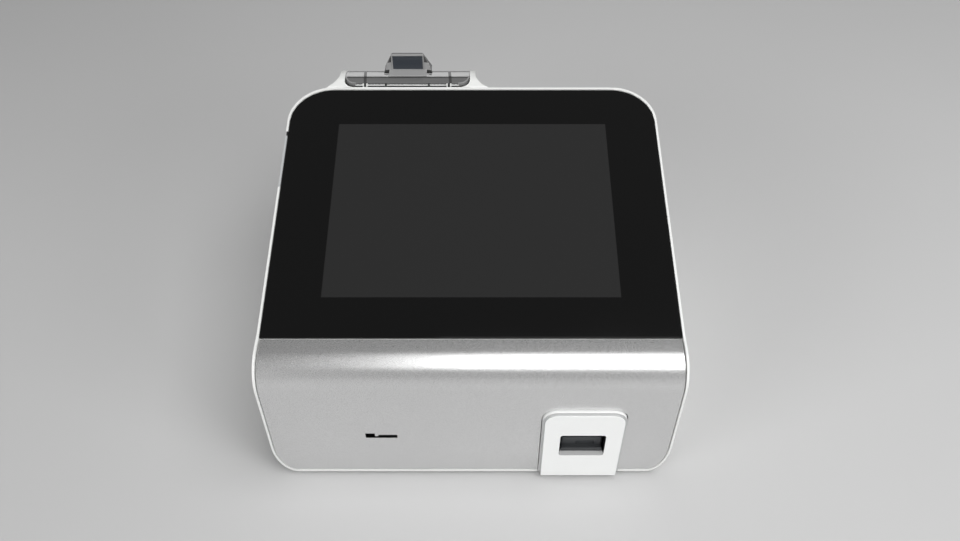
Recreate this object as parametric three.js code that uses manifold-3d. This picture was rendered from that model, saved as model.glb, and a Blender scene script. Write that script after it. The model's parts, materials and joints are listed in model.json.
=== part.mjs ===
// Tabletop reader for rapid test cassettes, with a touch screen, a cassette drawer and a small printer.
// Millimetres, +X to the right, +Y to the back, +Z up, floor at zero.
import * as THREE from 'three';
import { mergeVertices } from 'three/addons/utils/BufferGeometryUtils.js';
import Module from 'manifold-3d';

const wasm = await Module();
wasm.setup();

// Clearances and walls shared by all pieces
const GAP = 0.3;
const SEAM = 0.4;
const OVERRUN = 2;
const WALL = 2.5;
const SHEET = 1.5;

// Body: y is zero at the face of the fascia
const body = {
  halfWidth: 112.7,
  bottom: 3,
  rearLean: 10.22,
  proud: 0.3,
  rim: 1.2,
  rimProud: 0.4,
  noseTop: 95.4,
  noseRadius: 17,
  rearBend: 60,
  rearBendRadius: 30,
  rearTopRadius: 2.5,
  planCorner: 20,
  skirtAcross: 12,
  skirtUp: 24,
};

// Screen: a tilted plane that starts at the front edge of the glass
const screen = {
  tiltDegrees: 13.16,
  frontY: 23.2,
  frontZ: 96.1,
  length: 172.6,
  thickness: 2,
  corner: 25.3,
  crest: 2,
  rearRim: 3.7,
  shelf: 1.7,
  shelfWidth: 7,
  beamDepth: 5,
  beamAhead: 1.2,
};
const panel = { border: 25.5, start: 19, rearMargin: 21.6, thickness: 1.8, under: 0.6 };
const bracket = { margin: 2, plate: 1.2, earMargin: 4.5, earWidth: 14, box: 3.1, boxMargin: 8 };

// Front fascia and the card slot in it
const fascia = { thickness: 2.5, noseTop: 93.9, noseRadius: 16.5, end: 22.7, endTop: 95.2, noseInset: 0.7 };
const card = {
  inset: 54.2,
  width: 17.5,
  tallWidth: 5.1,
  nubWidth: 2.1,
  bottom: 36.9,
  tall: 4.3,
  low: 2.95,
  nub: 1.3,
  socketWall: 2.4,
  socketDepth: 26,
  slotDepth: 20,
};

// Cassette bezel and its mouth
const bezel = {
  inset: 51.2,
  halfWidth: 21.6,
  top: 61.7,
  proud: 3,
  step: 1.3,
  stepDepth: 1.4,
  corner: 7,
  inside: 2.2,
  mouthHalf: 12.25,
  mouthBottom: 25.7,
  mouthTop: 43,
  mouthCorner: 1.5,
  sleeveWall: 2.2,
  sleeveEnd: 10,
};

// Base tray, feet and the screws that hold it
const tray = {
  rim: 1.5,
  floor: 3.3,
  margin: 13.7,
  boss: 3.5,
  vent: 2.4,
  ventPitch: 6,
  ventLength: 26,
  ventCount: 7,
};
const foot = { radius: 6.5, inset: 24.7, front: 22, rear: 21 };
const screw = { head: 2.9, headHeight: 1.8, shank: 1.3, length: 11, inset: 20.7, front: 40, rear: 37 };
const post = { radius: 4, height: 38, web: 2 };

// Cassette transport: x is measured from the middle of the mouth
const gear = { module: 1, teeth: 16, width: 4, backlashShare: 0.82, shaft: 1.2, hub: 3 };
const carriage = {
  halfWidth: 11.7,
  front: 1,
  length: 110,
  height: 8,
  travel: 55,
  pocketHalf: 10.3,
  pocketStart: 4,
  pocketLength: 71,
  pocketDepth: 5,
  wingHalf: 18.5,
  wingStart: 72,
  wingHeight: 6,
  rackX: -7,
  rackMargin: 2,
  lip: 2,
  lipRise: 0.4,
  lipCorner: 1.2,
  faceX: 2,
  faceHalf: 5.3,
  faceDepth: 0.8,
  faceLow: 0.6,
  faceHigh: 4.6,
  flagX: 8.6,
  flagThickness: 1.2,
  flagLength: 6,
};
const rod = { radius: 1.5, across: 15.5, start: 11 };
const pinion = { y: 40 };
const motor = { radius: 10, length: 20, nose: 3, noseLength: 1.2 };
const deck = {
  height: 11,
  halfWidth: 34,
  front: 12,
  rearGap: 16,
  narrowTo: 54,
  tabTop: 12.3,
  tabMargin: 13,
  bossInset: 6,
};
const bridge = { halfWidth: 28, front: 60, length: 42, height: 50, window: 7.6 };
const optics = {
  halfWidth: 16,
  inset: 5,
  height: 24,
  lens: 7,
  lensLength: 9,
  flange: 9,
  flangeHeight: 1.5,
  bore: 4.5,
  boreDepth: 4,
};
const sensor = { halfWidth: 4, length: 6, slotDepth: 8 };

// Printer pod: x is measured from its middle, y from the rear face of the body
const pod = {
  inset: 71.7,
  halfWidth: 42.8,
  cheek: 3.3,
  radius: 24.4,
  centreY: -3,
  centreZ: 113.5,
  arcDegrees: 110,
  low: 70,
  lowRadius: 9,
  root: 58,
  front: -21,
  frontTop: 126,
  flare: 13,
  bayFront: -10.1,
};
const lid = {
  thickness: 2.2,
  sink: 0.4,
  front: -8.8,
  frontTop: 137,
  creaseY: -2.3,
  creaseWidth: 1.1,
  creaseDepth: 0.7,
  hingeRadius: 2.8,
  hingeZ: 82.2,
  pin: 1,
  pinSide: 2.4,
  ear: 1.8,
  earX: 35.2,
  rib: 1.2,
  ribX: 26.8,
  ribDepth: 3,
};
const latch = {
  y: 6,
  z: 129,
  shaft: 1.5,
  clearance: 0.25,
  baseHalf: 15,
  topHalf: 10,
  top: 149.2,
  blade: 1.6,
  gusset: 5,
  gussetWidth: 1.4,
  neck: 5,
  notchAhead: 2.8,
  notchBehind: 2.2,
  armX: 32.6,
  arm: 1.8,
  armHalf: 2.4,
  hookDrop: 12.4,
  hookHeight: 2,
  hookReach: 1.7,
  lug: 1.1,
};
const platen = { y: -4, z: 127, radius: 6, halfWidth: 29.2, shaft: 2, gearX: -35, gearWidth: 2.6 };
const train = {
  module: 0.8,
  platenTeeth: 14,
  idlerTeeth: 18,
  pinionTeeth: 10,
  slack: 0.12,
  pinionDropDegrees: 37,
};
const paper = { y: -2, z: 97, radius: 17, core: 8, bore: 6.2, halfWidth: 28.5 };
const chassis = {
  plate: 1.5,
  x: 30.5,
  rear: 14,
  front: -21,
  foreTop: 126,
  headTop: 130,
  motorFront: -29,
  motorRear: -12,
  web: 104,
  troughFrom: 190,
  padFrom: 255,
  padTo: 305,
  troughTo: 312,
  padFront: 1,
  padLength: 9,
  wall: 1.5,
  motorX: -36.9,
};
const head = {
  halfWidth: 27,
  halfHeight: 6,
  thickness: 3,
  away: 0.3,
  springGap: 4,
  springThickness: 0.5,
  springHalf: 12,
  springShare: 0.8,
  stub: 1.5,
};
const printerMotor = { radius: 7.5, length: 17, shaft: 0.9, boss: 2.4 };
const tear = { thickness: 0.5, height: 4, teethPitch: 2 };

// Side door over the service port
const door = {
  front: 118.6,
  rear: 152.8,
  thickness: 1.2,
  hingeZ: 108,
  hingeRadius: 1.4,
  pin: 0.6,
  notch: 2,
  notchHeight: 3,
};
const sidePort = { y: 136, halfLength: 7, bottom: 109.9, height: 6.2, depth: 15, tongue: 1.4 };

// Main board and the sockets in the rear wall
const board = {
  inset: 28.7,
  motorGap: 4.7,
  front: 34,
  rear: 5,
  thickness: 1.6,
  boss: 3.4,
  chip: 14,
  chipHeight: 1.6,
};
const lan = {
  onBoard: 4,
  width: 16,
  height: 13.4,
  depth: 19,
  cavity: 11.8,
  cavityHeight: 8,
  cavityDepth: 11,
};
const usb = {
  onBoard: 28,
  width: 13.4,
  height: 15.4,
  depth: 17,
  tongue: 1.2,
  slotHeight: 4.8,
  slotWidth: 11.6,
  slotDepth: 10,
};
const serial = { onBoard: 50, width: 31, height: 12.4, depth: 13, shell: 8, shellWidth: 17, proud: 2 };
const power = { inset: 24.7, z: 25, half: 5.5, depth: 15, bore: 3.2, boreDepth: 9, pin: 1 };
const toggle = {
  inset: 48.7,
  z: 27,
  halfWidth: 6.4,
  halfHeight: 9.6,
  flange: 1.4,
  flangeThickness: 1.6,
  depth: 17,
  rocker: 2.4,
  tiltDegrees: 8,
  pivotDepth: 2,
};
const rearVent = { width: 2.4, pitch: 6.5, count: 7, inset: 72.7, bottom: 66, height: 34 };
const spare = { far: 400 };

// Turns corner points [u, v, radius] into a closed outline with round corners
const ARC_STEP_DEGREES = 15;
function arcPoints([u, v], radius, fromDegrees, toDegrees) {
  const steps = Math.max(1, Math.ceil(Math.abs(toDegrees - fromDegrees) / ARC_STEP_DEGREES));
  return Array.from({ length: steps + 1 }, (_, i) => {
    const angle = THREE.MathUtils.degToRad(fromDegrees + ((toDegrees - fromDegrees) * i) / steps);
    return [u + radius * Math.cos(angle), v + radius * Math.sin(angle)];
  });
}
function outline(corners) {
  return corners.flatMap(([u, v, radius = 0], i) => {
    if (!radius) return [[u, v]];
    const corner = new THREE.Vector2(u, v);
    const before = new THREE.Vector2(...corners.at(i - 1)).sub(corner).normalize();
    const after = new THREE.Vector2(...corners[(i + 1) % corners.length]).sub(corner).normalize();
    const half = Math.acos(before.dot(after)) / 2;
    const middle = before.clone().add(after).setLength(radius / Math.sin(half)).add(corner);
    const reach = radius / Math.tan(half);
    const ends = [before, after].map((way) => corner.clone().addScaledVector(way, reach).sub(middle));
    const [from, to] = ends.map((end) => THREE.MathUtils.radToDeg(end.angle()));
    const turn = ((to - from + 540) % 360) - 180;
    return arcPoints([middle.x, middle.y], radius, from, from + turn);
  });
}
function rectangle(u0, u1, v0, v1, radius = 0) {
  return outline([[u0, v0, radius], [u1, v0, radius], [u1, v1, radius], [u0, v1, radius]]);
}

// Solids: a closed mesh becomes a manifold, and outlines are extruded along an axis
function solid(geometry) {
  geometry.deleteAttribute('normal');
  geometry.deleteAttribute('uv');
  const merged = mergeVertices(geometry);
  const mesh = new wasm.Mesh({
    numProp: 3,
    vertProperties: new Float32Array(merged.attributes.position.array),
    triVerts: new Uint32Array(merged.index.array),
  });
  return new wasm.Manifold(mesh);
}
const AXES = {
  x: [new THREE.Vector3(0, 1, 0), new THREE.Vector3(0, 0, 1), new THREE.Vector3(1, 0, 0)],
  y: [new THREE.Vector3(0, 0, 1), new THREE.Vector3(1, 0, 0), new THREE.Vector3(0, 1, 0)],
  z: [new THREE.Vector3(1, 0, 0), new THREE.Vector3(0, 1, 0), new THREE.Vector3(0, 0, 1)],
};
function extrude(points, depth, matrix) {
  const shape = new THREE.Shape(points.map(([u, v]) => new THREE.Vector2(u, v)));
  const geometry = new THREE.ExtrudeGeometry(shape, { depth, bevelEnabled: false });
  return solid(geometry.applyMatrix4(matrix));
}
function acrossX(points, from, to) {
  const matrix = new THREE.Matrix4().makeBasis(...AXES.x).setPosition(from, 0, 0);
  return extrude(points, to - from, matrix);
}
function acrossY(points, from, to) {
  const matrix = new THREE.Matrix4().makeBasis(...AXES.y).setPosition(0, from, 0);
  return extrude(points.map(([x, z]) => [z, x]), to - from, matrix);
}
function acrossZ(points, from, to) {
  const matrix = new THREE.Matrix4().makeBasis(...AXES.z).setPosition(0, 0, from);
  return extrude(points, to - from, matrix);
}
function block([x0, x1], [y0, y1], [z0, z1]) {
  return acrossZ(rectangle(x0, x1, y0, y1), z0, z1);
}
function cylinder(axis, [u, v], radius, from, to, sides = 24) {
  const points = Array.from({ length: sides }, (_, i) => {
    const angle = (2 * Math.PI * i) / sides;
    return [u + radius * Math.cos(angle), v + radius * Math.sin(angle)];
  });
  return { x: acrossX, y: acrossY, z: acrossZ }[axis](points, from, to);
}
function ring(axis, centre, outer, inner, from, to, sides = 24) {
  const bore = cylinder(axis, centre, inner, from - OVERRUN, to + OVERRUN, sides);
  return cylinder(axis, centre, outer, from, to, sides).subtract(bore);
}
function join(...solids) {
  return solids.reduce((whole, next) => whole.add(next));
}
function cut(base, ...tools) {
  return tools.reduce((whole, tool) => whole.subtract(tool), base);
}
function common(...solids) {
  return solids.reduce((whole, next) => whole.intersect(next));
}

// The screen's tilted frame: along runs up the glass from its front edge, above is square to it
const tilt = THREE.MathUtils.degToRad(screen.tiltDegrees);
function screenPoint(along, above) {
  return [
    screen.frontY + along * Math.cos(tilt) - above * Math.sin(tilt),
    screen.frontZ + along * Math.sin(tilt) + above * Math.cos(tilt),
  ];
}
function onScreen(points, from, to) {
  const matrix = new THREE.Matrix4().makeRotationX(tilt);
  matrix.setPosition(0, ...screenPoint(0, from));
  return extrude(points, to - from, matrix);
}

// Places that follow the screen and the side walls
const bodyDepth = screenPoint(screen.length + screen.rearRim, body.rimProud)[0] + body.rearLean;
const glassHalf = body.halfWidth - body.rim;
const panelHalf = glassHalf - panel.border;
const bezelX = body.halfWidth - bezel.inset;
const podX = pod.inset - body.halfWidth;
const screwX = body.halfWidth - screw.inset;
const jackX = body.halfWidth - power.inset;
const switchX = body.halfWidth - toggle.inset;
const cardLeft = card.inset - body.halfWidth;
const cardRight = cardLeft + card.width;
const boardLeft = board.inset - body.halfWidth;
const boardRight = bezelX - carriage.wingHalf - GAP - motor.length - board.motorGap;
const boardRear = bodyDepth - board.rear;
const lanLeft = boardLeft + lan.onBoard;
const usbLeft = boardLeft + usb.onBoard;
const serialLeft = boardLeft + serial.onBoard;
const trayHalf = body.halfWidth - tray.margin;
const screwRows = [screw.front, bodyDepth - screw.rear];
const deckRear = screwRows[1] - post.radius - deck.rearGap;

// Pieces are meshes in three groups: the body, the transport and the printer
const reader = new THREE.Group();
const transport = new THREE.Group();
const printer = new THREE.Group();
transport.position.x = bezelX;
printer.position.set(podX, bodyDepth, 0);
const rearMost = pod.centreY + pod.radius;
const whole = new THREE.Group();
whole.position.y = (bezel.proud - bodyDepth - rearMost) / 2;
whole.add(reader, transport, printer);
reader.name = 'reader';

function geometryOf(manifold) {
  const { vertProperties, triVerts, numProp } = manifold.getMesh();
  const geometry = new THREE.BufferGeometry();
  geometry.setAttribute('position', new THREE.BufferAttribute(new Float32Array(vertProperties), numProp));
  geometry.setIndex(new THREE.BufferAttribute(new Uint32Array(triVerts), 1));
  geometry.computeVertexNormals();
  return geometry;
}
function piece(group, name, manifold, [color, roughness, metalness = 0], place = [0, 0, 0]) {
  const material = new THREE.MeshStandardMaterial({ color, roughness, metalness });
  const mesh = new THREE.Mesh(geometryOf(manifold), material);
  mesh.name = name;
  mesh.position.set(...place);
  group.add(mesh);
}
const looks = {
  white: [0xe4e5e3, 0.4],
  silver: [0xb9bcc0, 0.34, 0.35],
  glass: [0x0a0b0d, 0.06],
  panel: [0x2c2e31, 0.3],
  smoke: [0x8b9095, 0.25],
  black: [0x17181a, 0.5],
  dark: [0x2b2d30, 0.55],
  steel: [0xb4b7ba, 0.3, 0.9],
  zinc: [0xc9ccce, 0.4, 0.8],
  board: [0x1d5b3c, 0.5],
  brass: [0xc6a04e, 0.35, 0.9],
  nylon: [0xe9e6dc, 0.5],
  rubber: [0x1b1b1c, 0.85],
  paper: [0xf6f5f0, 0.9],
  card: [0xb08a5c, 0.85],
  lens: [0x20304a, 0.08],
};

// Outer form of the body, drawn in by an inset; its top is given by a height above the screen plane
function sideOutline(inset, above, top, floor) {
  return outline([
    [inset - body.proud, floor],
    [inset - body.proud, top, body.noseRadius - inset],
    [...screenPoint(screen.crest, above)],
    [...screenPoint(screen.length + screen.rearRim - inset, above), body.rearTopRadius],
    [bodyDepth - inset, body.rearBend, body.rearBendRadius],
    [bodyDepth - inset, floor],
  ]);
}
function frontOutline(inset, low = body.bottom) {
  const across = body.skirtAcross - inset;
  const up = body.skirtUp - inset;
  const half = body.halfWidth - inset;
  const quarter = arcPoints([0, 0], 1, 0, -90);
  const right = quarter.map(([c, s]) => [half - across + across * c, body.bottom + inset + up + up * s]);
  const left = right.map(([x, z]) => [-x, z]).reverse();
  const foot = low < body.bottom + inset ? [[half - across, low], [across - half, low]] : [];
  return [[half, spare.far], ...right, ...foot, ...left, [-half, spare.far]];
}
function screenOutline(half, rear, corner, front) {
  return outline([[-half, front], [half, front], [half, rear, corner], [-half, rear, corner]]);
}
function planOutline(inset) {
  const half = body.halfWidth - inset;
  const rear = bodyDepth - inset;
  const corner = body.planCorner - inset;
  return outline([[-half, -bodyDepth], [half, -bodyDepth], [half, rear, corner], [-half, rear, corner]]);
}
const rimCorner = screen.corner + body.rim;
const shelfUnder = -(screen.thickness + GAP + screen.shelf);
function bodyForm(inset, side, front) {
  const half = body.halfWidth - inset;
  const rear = screen.length + screen.rearRim - inset;
  return common(
    acrossX(side, -half, half),
    acrossY(front, -bodyDepth, bodyDepth),
    onScreen(screenOutline(half, rear, rimCorner - inset, -bodyDepth), -bodyDepth, bodyDepth),
    acrossZ(planOutline(inset), 0, spare.far),
  );
}
const outerForm = bodyForm(0, sideOutline(0, body.rimProud, body.noseTop, body.bottom), frontOutline(0));

// Fascia side profile, drawn in from its face
function fasciaOutline(inset) {
  return outline([
    [inset, 0],
    [inset, fascia.noseTop - inset, fascia.noseRadius - inset],
    [fascia.end, fascia.endTop - inset],
    [fascia.end + bodyDepth, fascia.endTop - inset],
    [fascia.end + bodyDepth, 0],
  ]);
}

// Hollow of the body, open below and in front
function hollow() {
  const beamBottom = fascia.endTop - fascia.thickness - GAP - screen.beamDepth;
  const beamFront = fascia.end - screen.beamAhead;
  const [underY, underZ] = screenPoint(screen.shelfWidth, shelfUnder);
  const side = outline([
    [0, 0],
    [0, fascia.noseTop],
    [beamFront, fascia.noseTop - WALL],
    [beamFront, beamBottom],
    [underY - WALL, beamBottom],
    [underY, underZ],
    [...screenPoint(screen.length + screen.rearRim - WALL, shelfUnder), body.rearTopRadius],
    [bodyDepth - WALL, body.rearBend, body.rearBendRadius],
    [bodyDepth - WALL, 0],
  ]);
  const inner = bodyForm(WALL, side, frontOutline(WALL));
  const mouth = common(
    block([-trayHalf, trayHalf], [0, bodyDepth - WALL], [0, body.skirtUp]),
    acrossZ(planOutline(WALL), 0, spare.far),
  );
  return inner.add(mouth);
}

// Printer pod on the rear wall, in the printer's own frame
function podSide(inset) {
  const radius = pod.radius - inset;
  const rear = pod.centreY + radius;
  return [
    [pod.front, pod.root + inset],
    [pod.front, pod.frontTop],
    ...arcPoints([pod.centreY, pod.centreZ], radius, pod.arcDegrees, 0),
    ...outline([
      [rear, pod.centreZ],
      [rear, pod.low + inset, pod.lowRadius - inset],
      [-WALL, pod.root + inset],
    ]).slice(1),
  ];
}
function podPlan() {
  const half = pod.halfWidth;
  const rootY = pod.centreY + pod.cheek;
  const right = arcPoints([half + pod.flare, rootY], pod.flare, 270, 180);
  const left = right.map(([x, y]) => [-x, y]).reverse();
  const far = rearMost + OVERRUN;
  return [
    [half + pod.flare, pod.front],
    ...right,
    [half, far],
    [-half, far],
    ...left,
    [-half - pod.flare, pod.front],
  ];
}
const bayHalf = pod.halfWidth - pod.cheek;
const bayBottom = lid.hingeZ - lid.hingeRadius - GAP;
function podShell() {
  const wide = pod.halfWidth + pod.flare;
  return common(acrossX(podSide(0), -wide, wide), acrossZ(podPlan(), 0, spare.far));
}
function podBay() {
  const above = block([-bayHalf, bayHalf], [pod.bayFront, rearMost + OVERRUN], [bayBottom, spare.far]);
  return above.add(acrossX(podSide(WALL), -bayHalf, bayHalf));
}

// A fitted hole through the rear wall, wider than what sits in it
function rearHole(left, right, low, high) {
  const far = bodyDepth + OVERRUN;
  return block([left - GAP, right + GAP], [bodyDepth - WALL - OVERRUN, far], [low - GAP, high + GAP]);
}
const boardTop = body.bottom + tray.floor + board.boss + board.thickness;
const portBottom = boardTop + GAP;
function bothSides(make) {
  return [-1, 1].flatMap((side) => screwRows.map((y) => make(side, y)));
}

function housing() {
  const printerPlace = [podX, bodyDepth, 0];
  const pocket = cut(
    common(
      block([-glassHalf, glassHalf], [-spare.far, fascia.end + GAP], [0, spare.far]),
      acrossY(frontOutline(body.rim, 0), -spare.far, bodyDepth),
    ),
    acrossX(fasciaOutline(fascia.thickness + GAP), -body.halfWidth, body.halfWidth),
  );
  const glassSeat = onScreen(
    screenOutline(glassHalf, screen.length + GAP, screen.corner, -SEAM),
    -(screen.thickness + GAP),
    spare.far,
  );
  const windowHalf = glassHalf - screen.shelfWidth;
  const windowEnd = screen.length - screen.shelfWidth;
  const window = onScreen(
    screenOutline(windowHalf, windowEnd, screen.corner - screen.shelfWidth, screen.shelfWidth),
    shelfUnder - OVERRUN,
    0,
  );
  const lowest = body.bottom + tray.rim + GAP;
  const below = block([-spare.far, spare.far], [-spare.far, spare.far], [-spare.far, lowest]);
  const posts = bothSides((side, y) => {
    const from = body.bottom + tray.floor + GAP;
    const web = block(
      [screwX, body.halfWidth - WALL / 2],
      [y - post.web / 2, y + post.web / 2],
      [from, from + post.height],
    );
    const bore = cylinder('z', [screwX, y], screw.shank + GAP, from - OVERRUN, from + screw.length, 16);
    const round = cylinder('z', [screwX, y], post.radius, from, from + post.height, 20);
    const right = round.add(web).subtract(bore);
    return common(side > 0 ? right : right.mirror([1, 0, 0]), outerForm);
  });
  const holes = [
    rearHole(lanLeft, lanLeft + lan.width, portBottom, portBottom + lan.height),
    rearHole(usbLeft, usbLeft + usb.width, portBottom, portBottom + usb.height),
    rearHole(serialLeft, serialLeft + serial.width, portBottom, portBottom + serial.height),
    rearHole(jackX - power.half, jackX + power.half, power.z - power.half, power.z + power.half),
    rearHole(
      switchX - toggle.halfWidth,
      switchX + toggle.halfWidth,
      toggle.z - toggle.halfHeight,
      toggle.z + toggle.halfHeight,
    ),
  ];
  const vents = Array.from({ length: rearVent.count }, (_, i) => {
    const x = body.halfWidth - rearVent.inset + i * rearVent.pitch;
    const slot = rectangle(x, x + rearVent.width, rearVent.bottom, rearVent.bottom + rearVent.height);
    return acrossY(slot, bodyDepth - pod.flare - WALL, bodyDepth + OVERRUN);
  });
  const pinBore = cylinder(
    'x',
    [rearMost - lid.sink - lid.hingeRadius, lid.hingeZ],
    lid.pin + GAP / 2,
    ...pinSpan(GAP),
  );
  const shell = join(outerForm, podShell().translate(printerPlace));
  return cut(
    join(
      cut(shell, hollow(), pocket, glassSeat, window, podBay().translate(printerPlace), ...holes, ...vents),
      ...posts,
    ),
    below,
    pinBore.translate(printerPlace),
    ...doorCuts(),
  );
}
// The lid's pin ends inside both cheeks
function pinSpan(extra) {
  const half = bayHalf + pod.cheek - lid.pinSide / 2 + extra;
  return [-half, half];
}

// Side door: a skin of the left wall that folds down over the service port
const doorHingeX = door.hingeRadius - body.halfWidth;
function doorZone(gap) {
  const low = door.hingeZ - door.hingeRadius - gap;
  const inner = door.thickness + gap - body.halfWidth;
  return block([-spare.far, inner], [door.front - gap, door.rear + gap], [low, spare.far]);
}
function doorCuts() {
  const barrel = cylinder(
    'y',
    [doorHingeX, door.hingeZ],
    door.hingeRadius + GAP,
    door.front - GAP,
    door.rear + GAP,
  );
  const pin = cylinder(
    'y',
    [doorHingeX, door.hingeZ],
    door.pin + GAP / 2,
    door.front - WALL,
    door.rear + WALL,
    12,
  );
  const port = block(
    [-body.halfWidth - OVERRUN, WALL + OVERRUN - body.halfWidth],
    [sidePort.y - sidePort.halfLength - GAP, sidePort.y + sidePort.halfLength + GAP],
    [sidePort.bottom - GAP, sidePort.bottom + sidePort.height + GAP],
  );
  return [doorZone(GAP), barrel, pin, port];
}
function sideDoor() {
  const low = door.hingeZ - door.hingeRadius;
  const skin = block(
    [-body.halfWidth - OVERRUN, door.thickness - body.halfWidth],
    [door.front, door.rear],
    [door.hingeZ, spare.far],
  );
  const plate = common(skin, outerForm);
  const barrel = cylinder('y', [doorHingeX, door.hingeZ], door.hingeRadius, door.front, door.rear);
  const bore = cylinder(
    'y',
    [doorHingeX, door.hingeZ],
    door.pin + GAP,
    door.front - OVERRUN,
    door.rear + OVERRUN,
    12,
  );
  const [, rimZ] = screenPoint((door.rear - screen.frontY) / Math.cos(tilt), body.rimProud);
  const notch = block(
    [-spare.far, spare.far],
    [door.rear - door.notch, door.rear + OVERRUN],
    [rimZ - door.notchHeight, spare.far],
  );
  return cut(plate.add(barrel), bore, notch);
}
piece(reader, 'main_housing', housing(), looks.white);
piece(reader, 'side_door', sideDoor(), [0xb4b6b8, 0.5]);
piece(
  reader,
  'side_door_pin',
  cylinder('y', [doorHingeX, door.hingeZ], door.pin, door.front - WALL + GAP, door.rear + WALL - GAP, 12),
  looks.steel,
);

// Front fascia: a wrapped plate from the base to the glass, with the card slot and a notch for the bezel
function cardSlot(grow) {
  const left = cardLeft - grow;
  const right = cardRight + grow;
  const low = card.bottom - grow;
  const step = cardLeft + card.tallWidth + grow;
  const nubEnd = step + card.nubWidth - 2 * grow;
  return [
    [left, low],
    [right, low],
    [right, card.bottom + card.low + grow],
    [nubEnd, card.bottom + card.low + grow],
    [nubEnd, card.bottom + card.low - card.nub + grow],
    [step, card.bottom + card.low - card.nub + grow],
    [step, card.bottom + card.tall + grow],
    [left, card.bottom + card.tall + grow],
  ];
}
const bezelOuter = bezel.halfWidth + bezel.step;
function frontFascia() {
  const half = glassHalf - GAP;
  const lowest = body.bottom + tray.rim + GAP;
  const front = frontOutline(body.rim + GAP, lowest).map(([x, z]) => {
    const share = THREE.MathUtils.clamp((z - (fascia.noseTop - fascia.noseRadius)) / fascia.noseRadius, 0, 1);
    return [x, z, share];
  });
  const narrowed = front.map(([x, z, share]) => [x - Math.sign(x) * share * fascia.noseInset, z]);
  const plate = cut(
    common(
      acrossX(fasciaOutline(0), -half, half),
      acrossY(narrowed, -OVERRUN, fascia.end),
      block([-half, half], [-OVERRUN, fascia.end], [lowest, spare.far]),
    ),
    acrossX(fasciaOutline(fascia.thickness), -half - OVERRUN, half + OVERRUN),
  );
  const notch = rectangle(
    bezelX - bezelOuter - SEAM,
    bezelX + bezelOuter + SEAM,
    -bezel.top,
    bezel.top + bezel.step + SEAM,
    bezel.corner + bezel.step,
  );
  return cut(
    plate,
    acrossY(notch, -OVERRUN, fascia.thickness + OVERRUN),
    acrossY(cardSlot(0), -OVERRUN, fascia.thickness + OVERRUN),
  );
}

// Bezel round the cassette mouth, in the transport's frame: a panel on a base, and a sleeve behind
function cassetteBezel() {
  const low = body.bottom + GAP / 2;
  const face = rectangle(-bezel.halfWidth, bezel.halfWidth, -bezel.top, bezel.top, bezel.corner);
  const outer = bezelOuter;
  const base = rectangle(-outer, outer, -bezel.top, bezel.top + bezel.step, bezel.corner + bezel.step);
  const mouth = (grow) => rectangle(
    -bezel.mouthHalf - grow,
    bezel.mouthHalf + grow,
    bezel.mouthBottom - grow,
    bezel.mouthTop + grow,
    bezel.mouthCorner + grow,
  );
  const bulk = join(
    acrossY(face, -bezel.proud, 0),
    acrossY(base, bezel.stepDepth - bezel.proud, bezel.inside),
    acrossY(mouth(bezel.sleeveWall), 0, bezel.sleeveEnd),
  );
  const under = block([-spare.far, spare.far], [-spare.far, spare.far], [-spare.far, low]);
  return cut(bulk, under, acrossY(mouth(0), -spare.far, spare.far));
}

// Screen stack: cover glass, display panel and the metal pan that hangs both under the shelf
function touchGlass() {
  const half = glassHalf - GAP;
  return onScreen(screenOutline(half, screen.length, screen.corner - GAP, 0), -screen.thickness, 0);
}
const panelTop = -(screen.thickness + panel.under);
function lcdPanel() {
  const end = screen.length - panel.rearMargin;
  return onScreen(rectangle(-panelHalf, panelHalf, panel.start, end), panelTop - panel.thickness, panelTop);
}
function lcdBracket() {
  const half = panelHalf + bracket.margin;
  const from = panel.start - bracket.margin;
  const to = screen.length - panel.rearMargin + bracket.margin;
  const top = panelTop - panel.thickness - GAP;
  const plate = onScreen(rectangle(-half, half, from, to), top - bracket.plate, top);
  const inset = bracket.boxMargin;
  const pan = onScreen(
    rectangle(inset - half, half - inset, from + inset, to - inset, inset),
    top - bracket.plate - bracket.box,
    top - bracket.plate / 2,
  );
  const ears = [from, to - bracket.earWidth].map((start) => {
    const reach = glassHalf - bracket.earMargin;
    return onScreen(rectangle(-reach, reach, start, start + bracket.earWidth), top - bracket.plate, top);
  });
  return join(plate, pan, ...ears);
}
piece(reader, 'front_fascia', frontFascia(), looks.silver);
piece(transport, 'cassette_bezel', cassetteBezel(), [0xf2f3f2, 0.35]);
piece(reader, 'touch_glass', touchGlass(), looks.glass);
piece(reader, 'lcd_panel', lcdPanel(), looks.panel);
piece(reader, 'lcd_bracket', lcdBracket(), looks.zinc);

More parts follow.
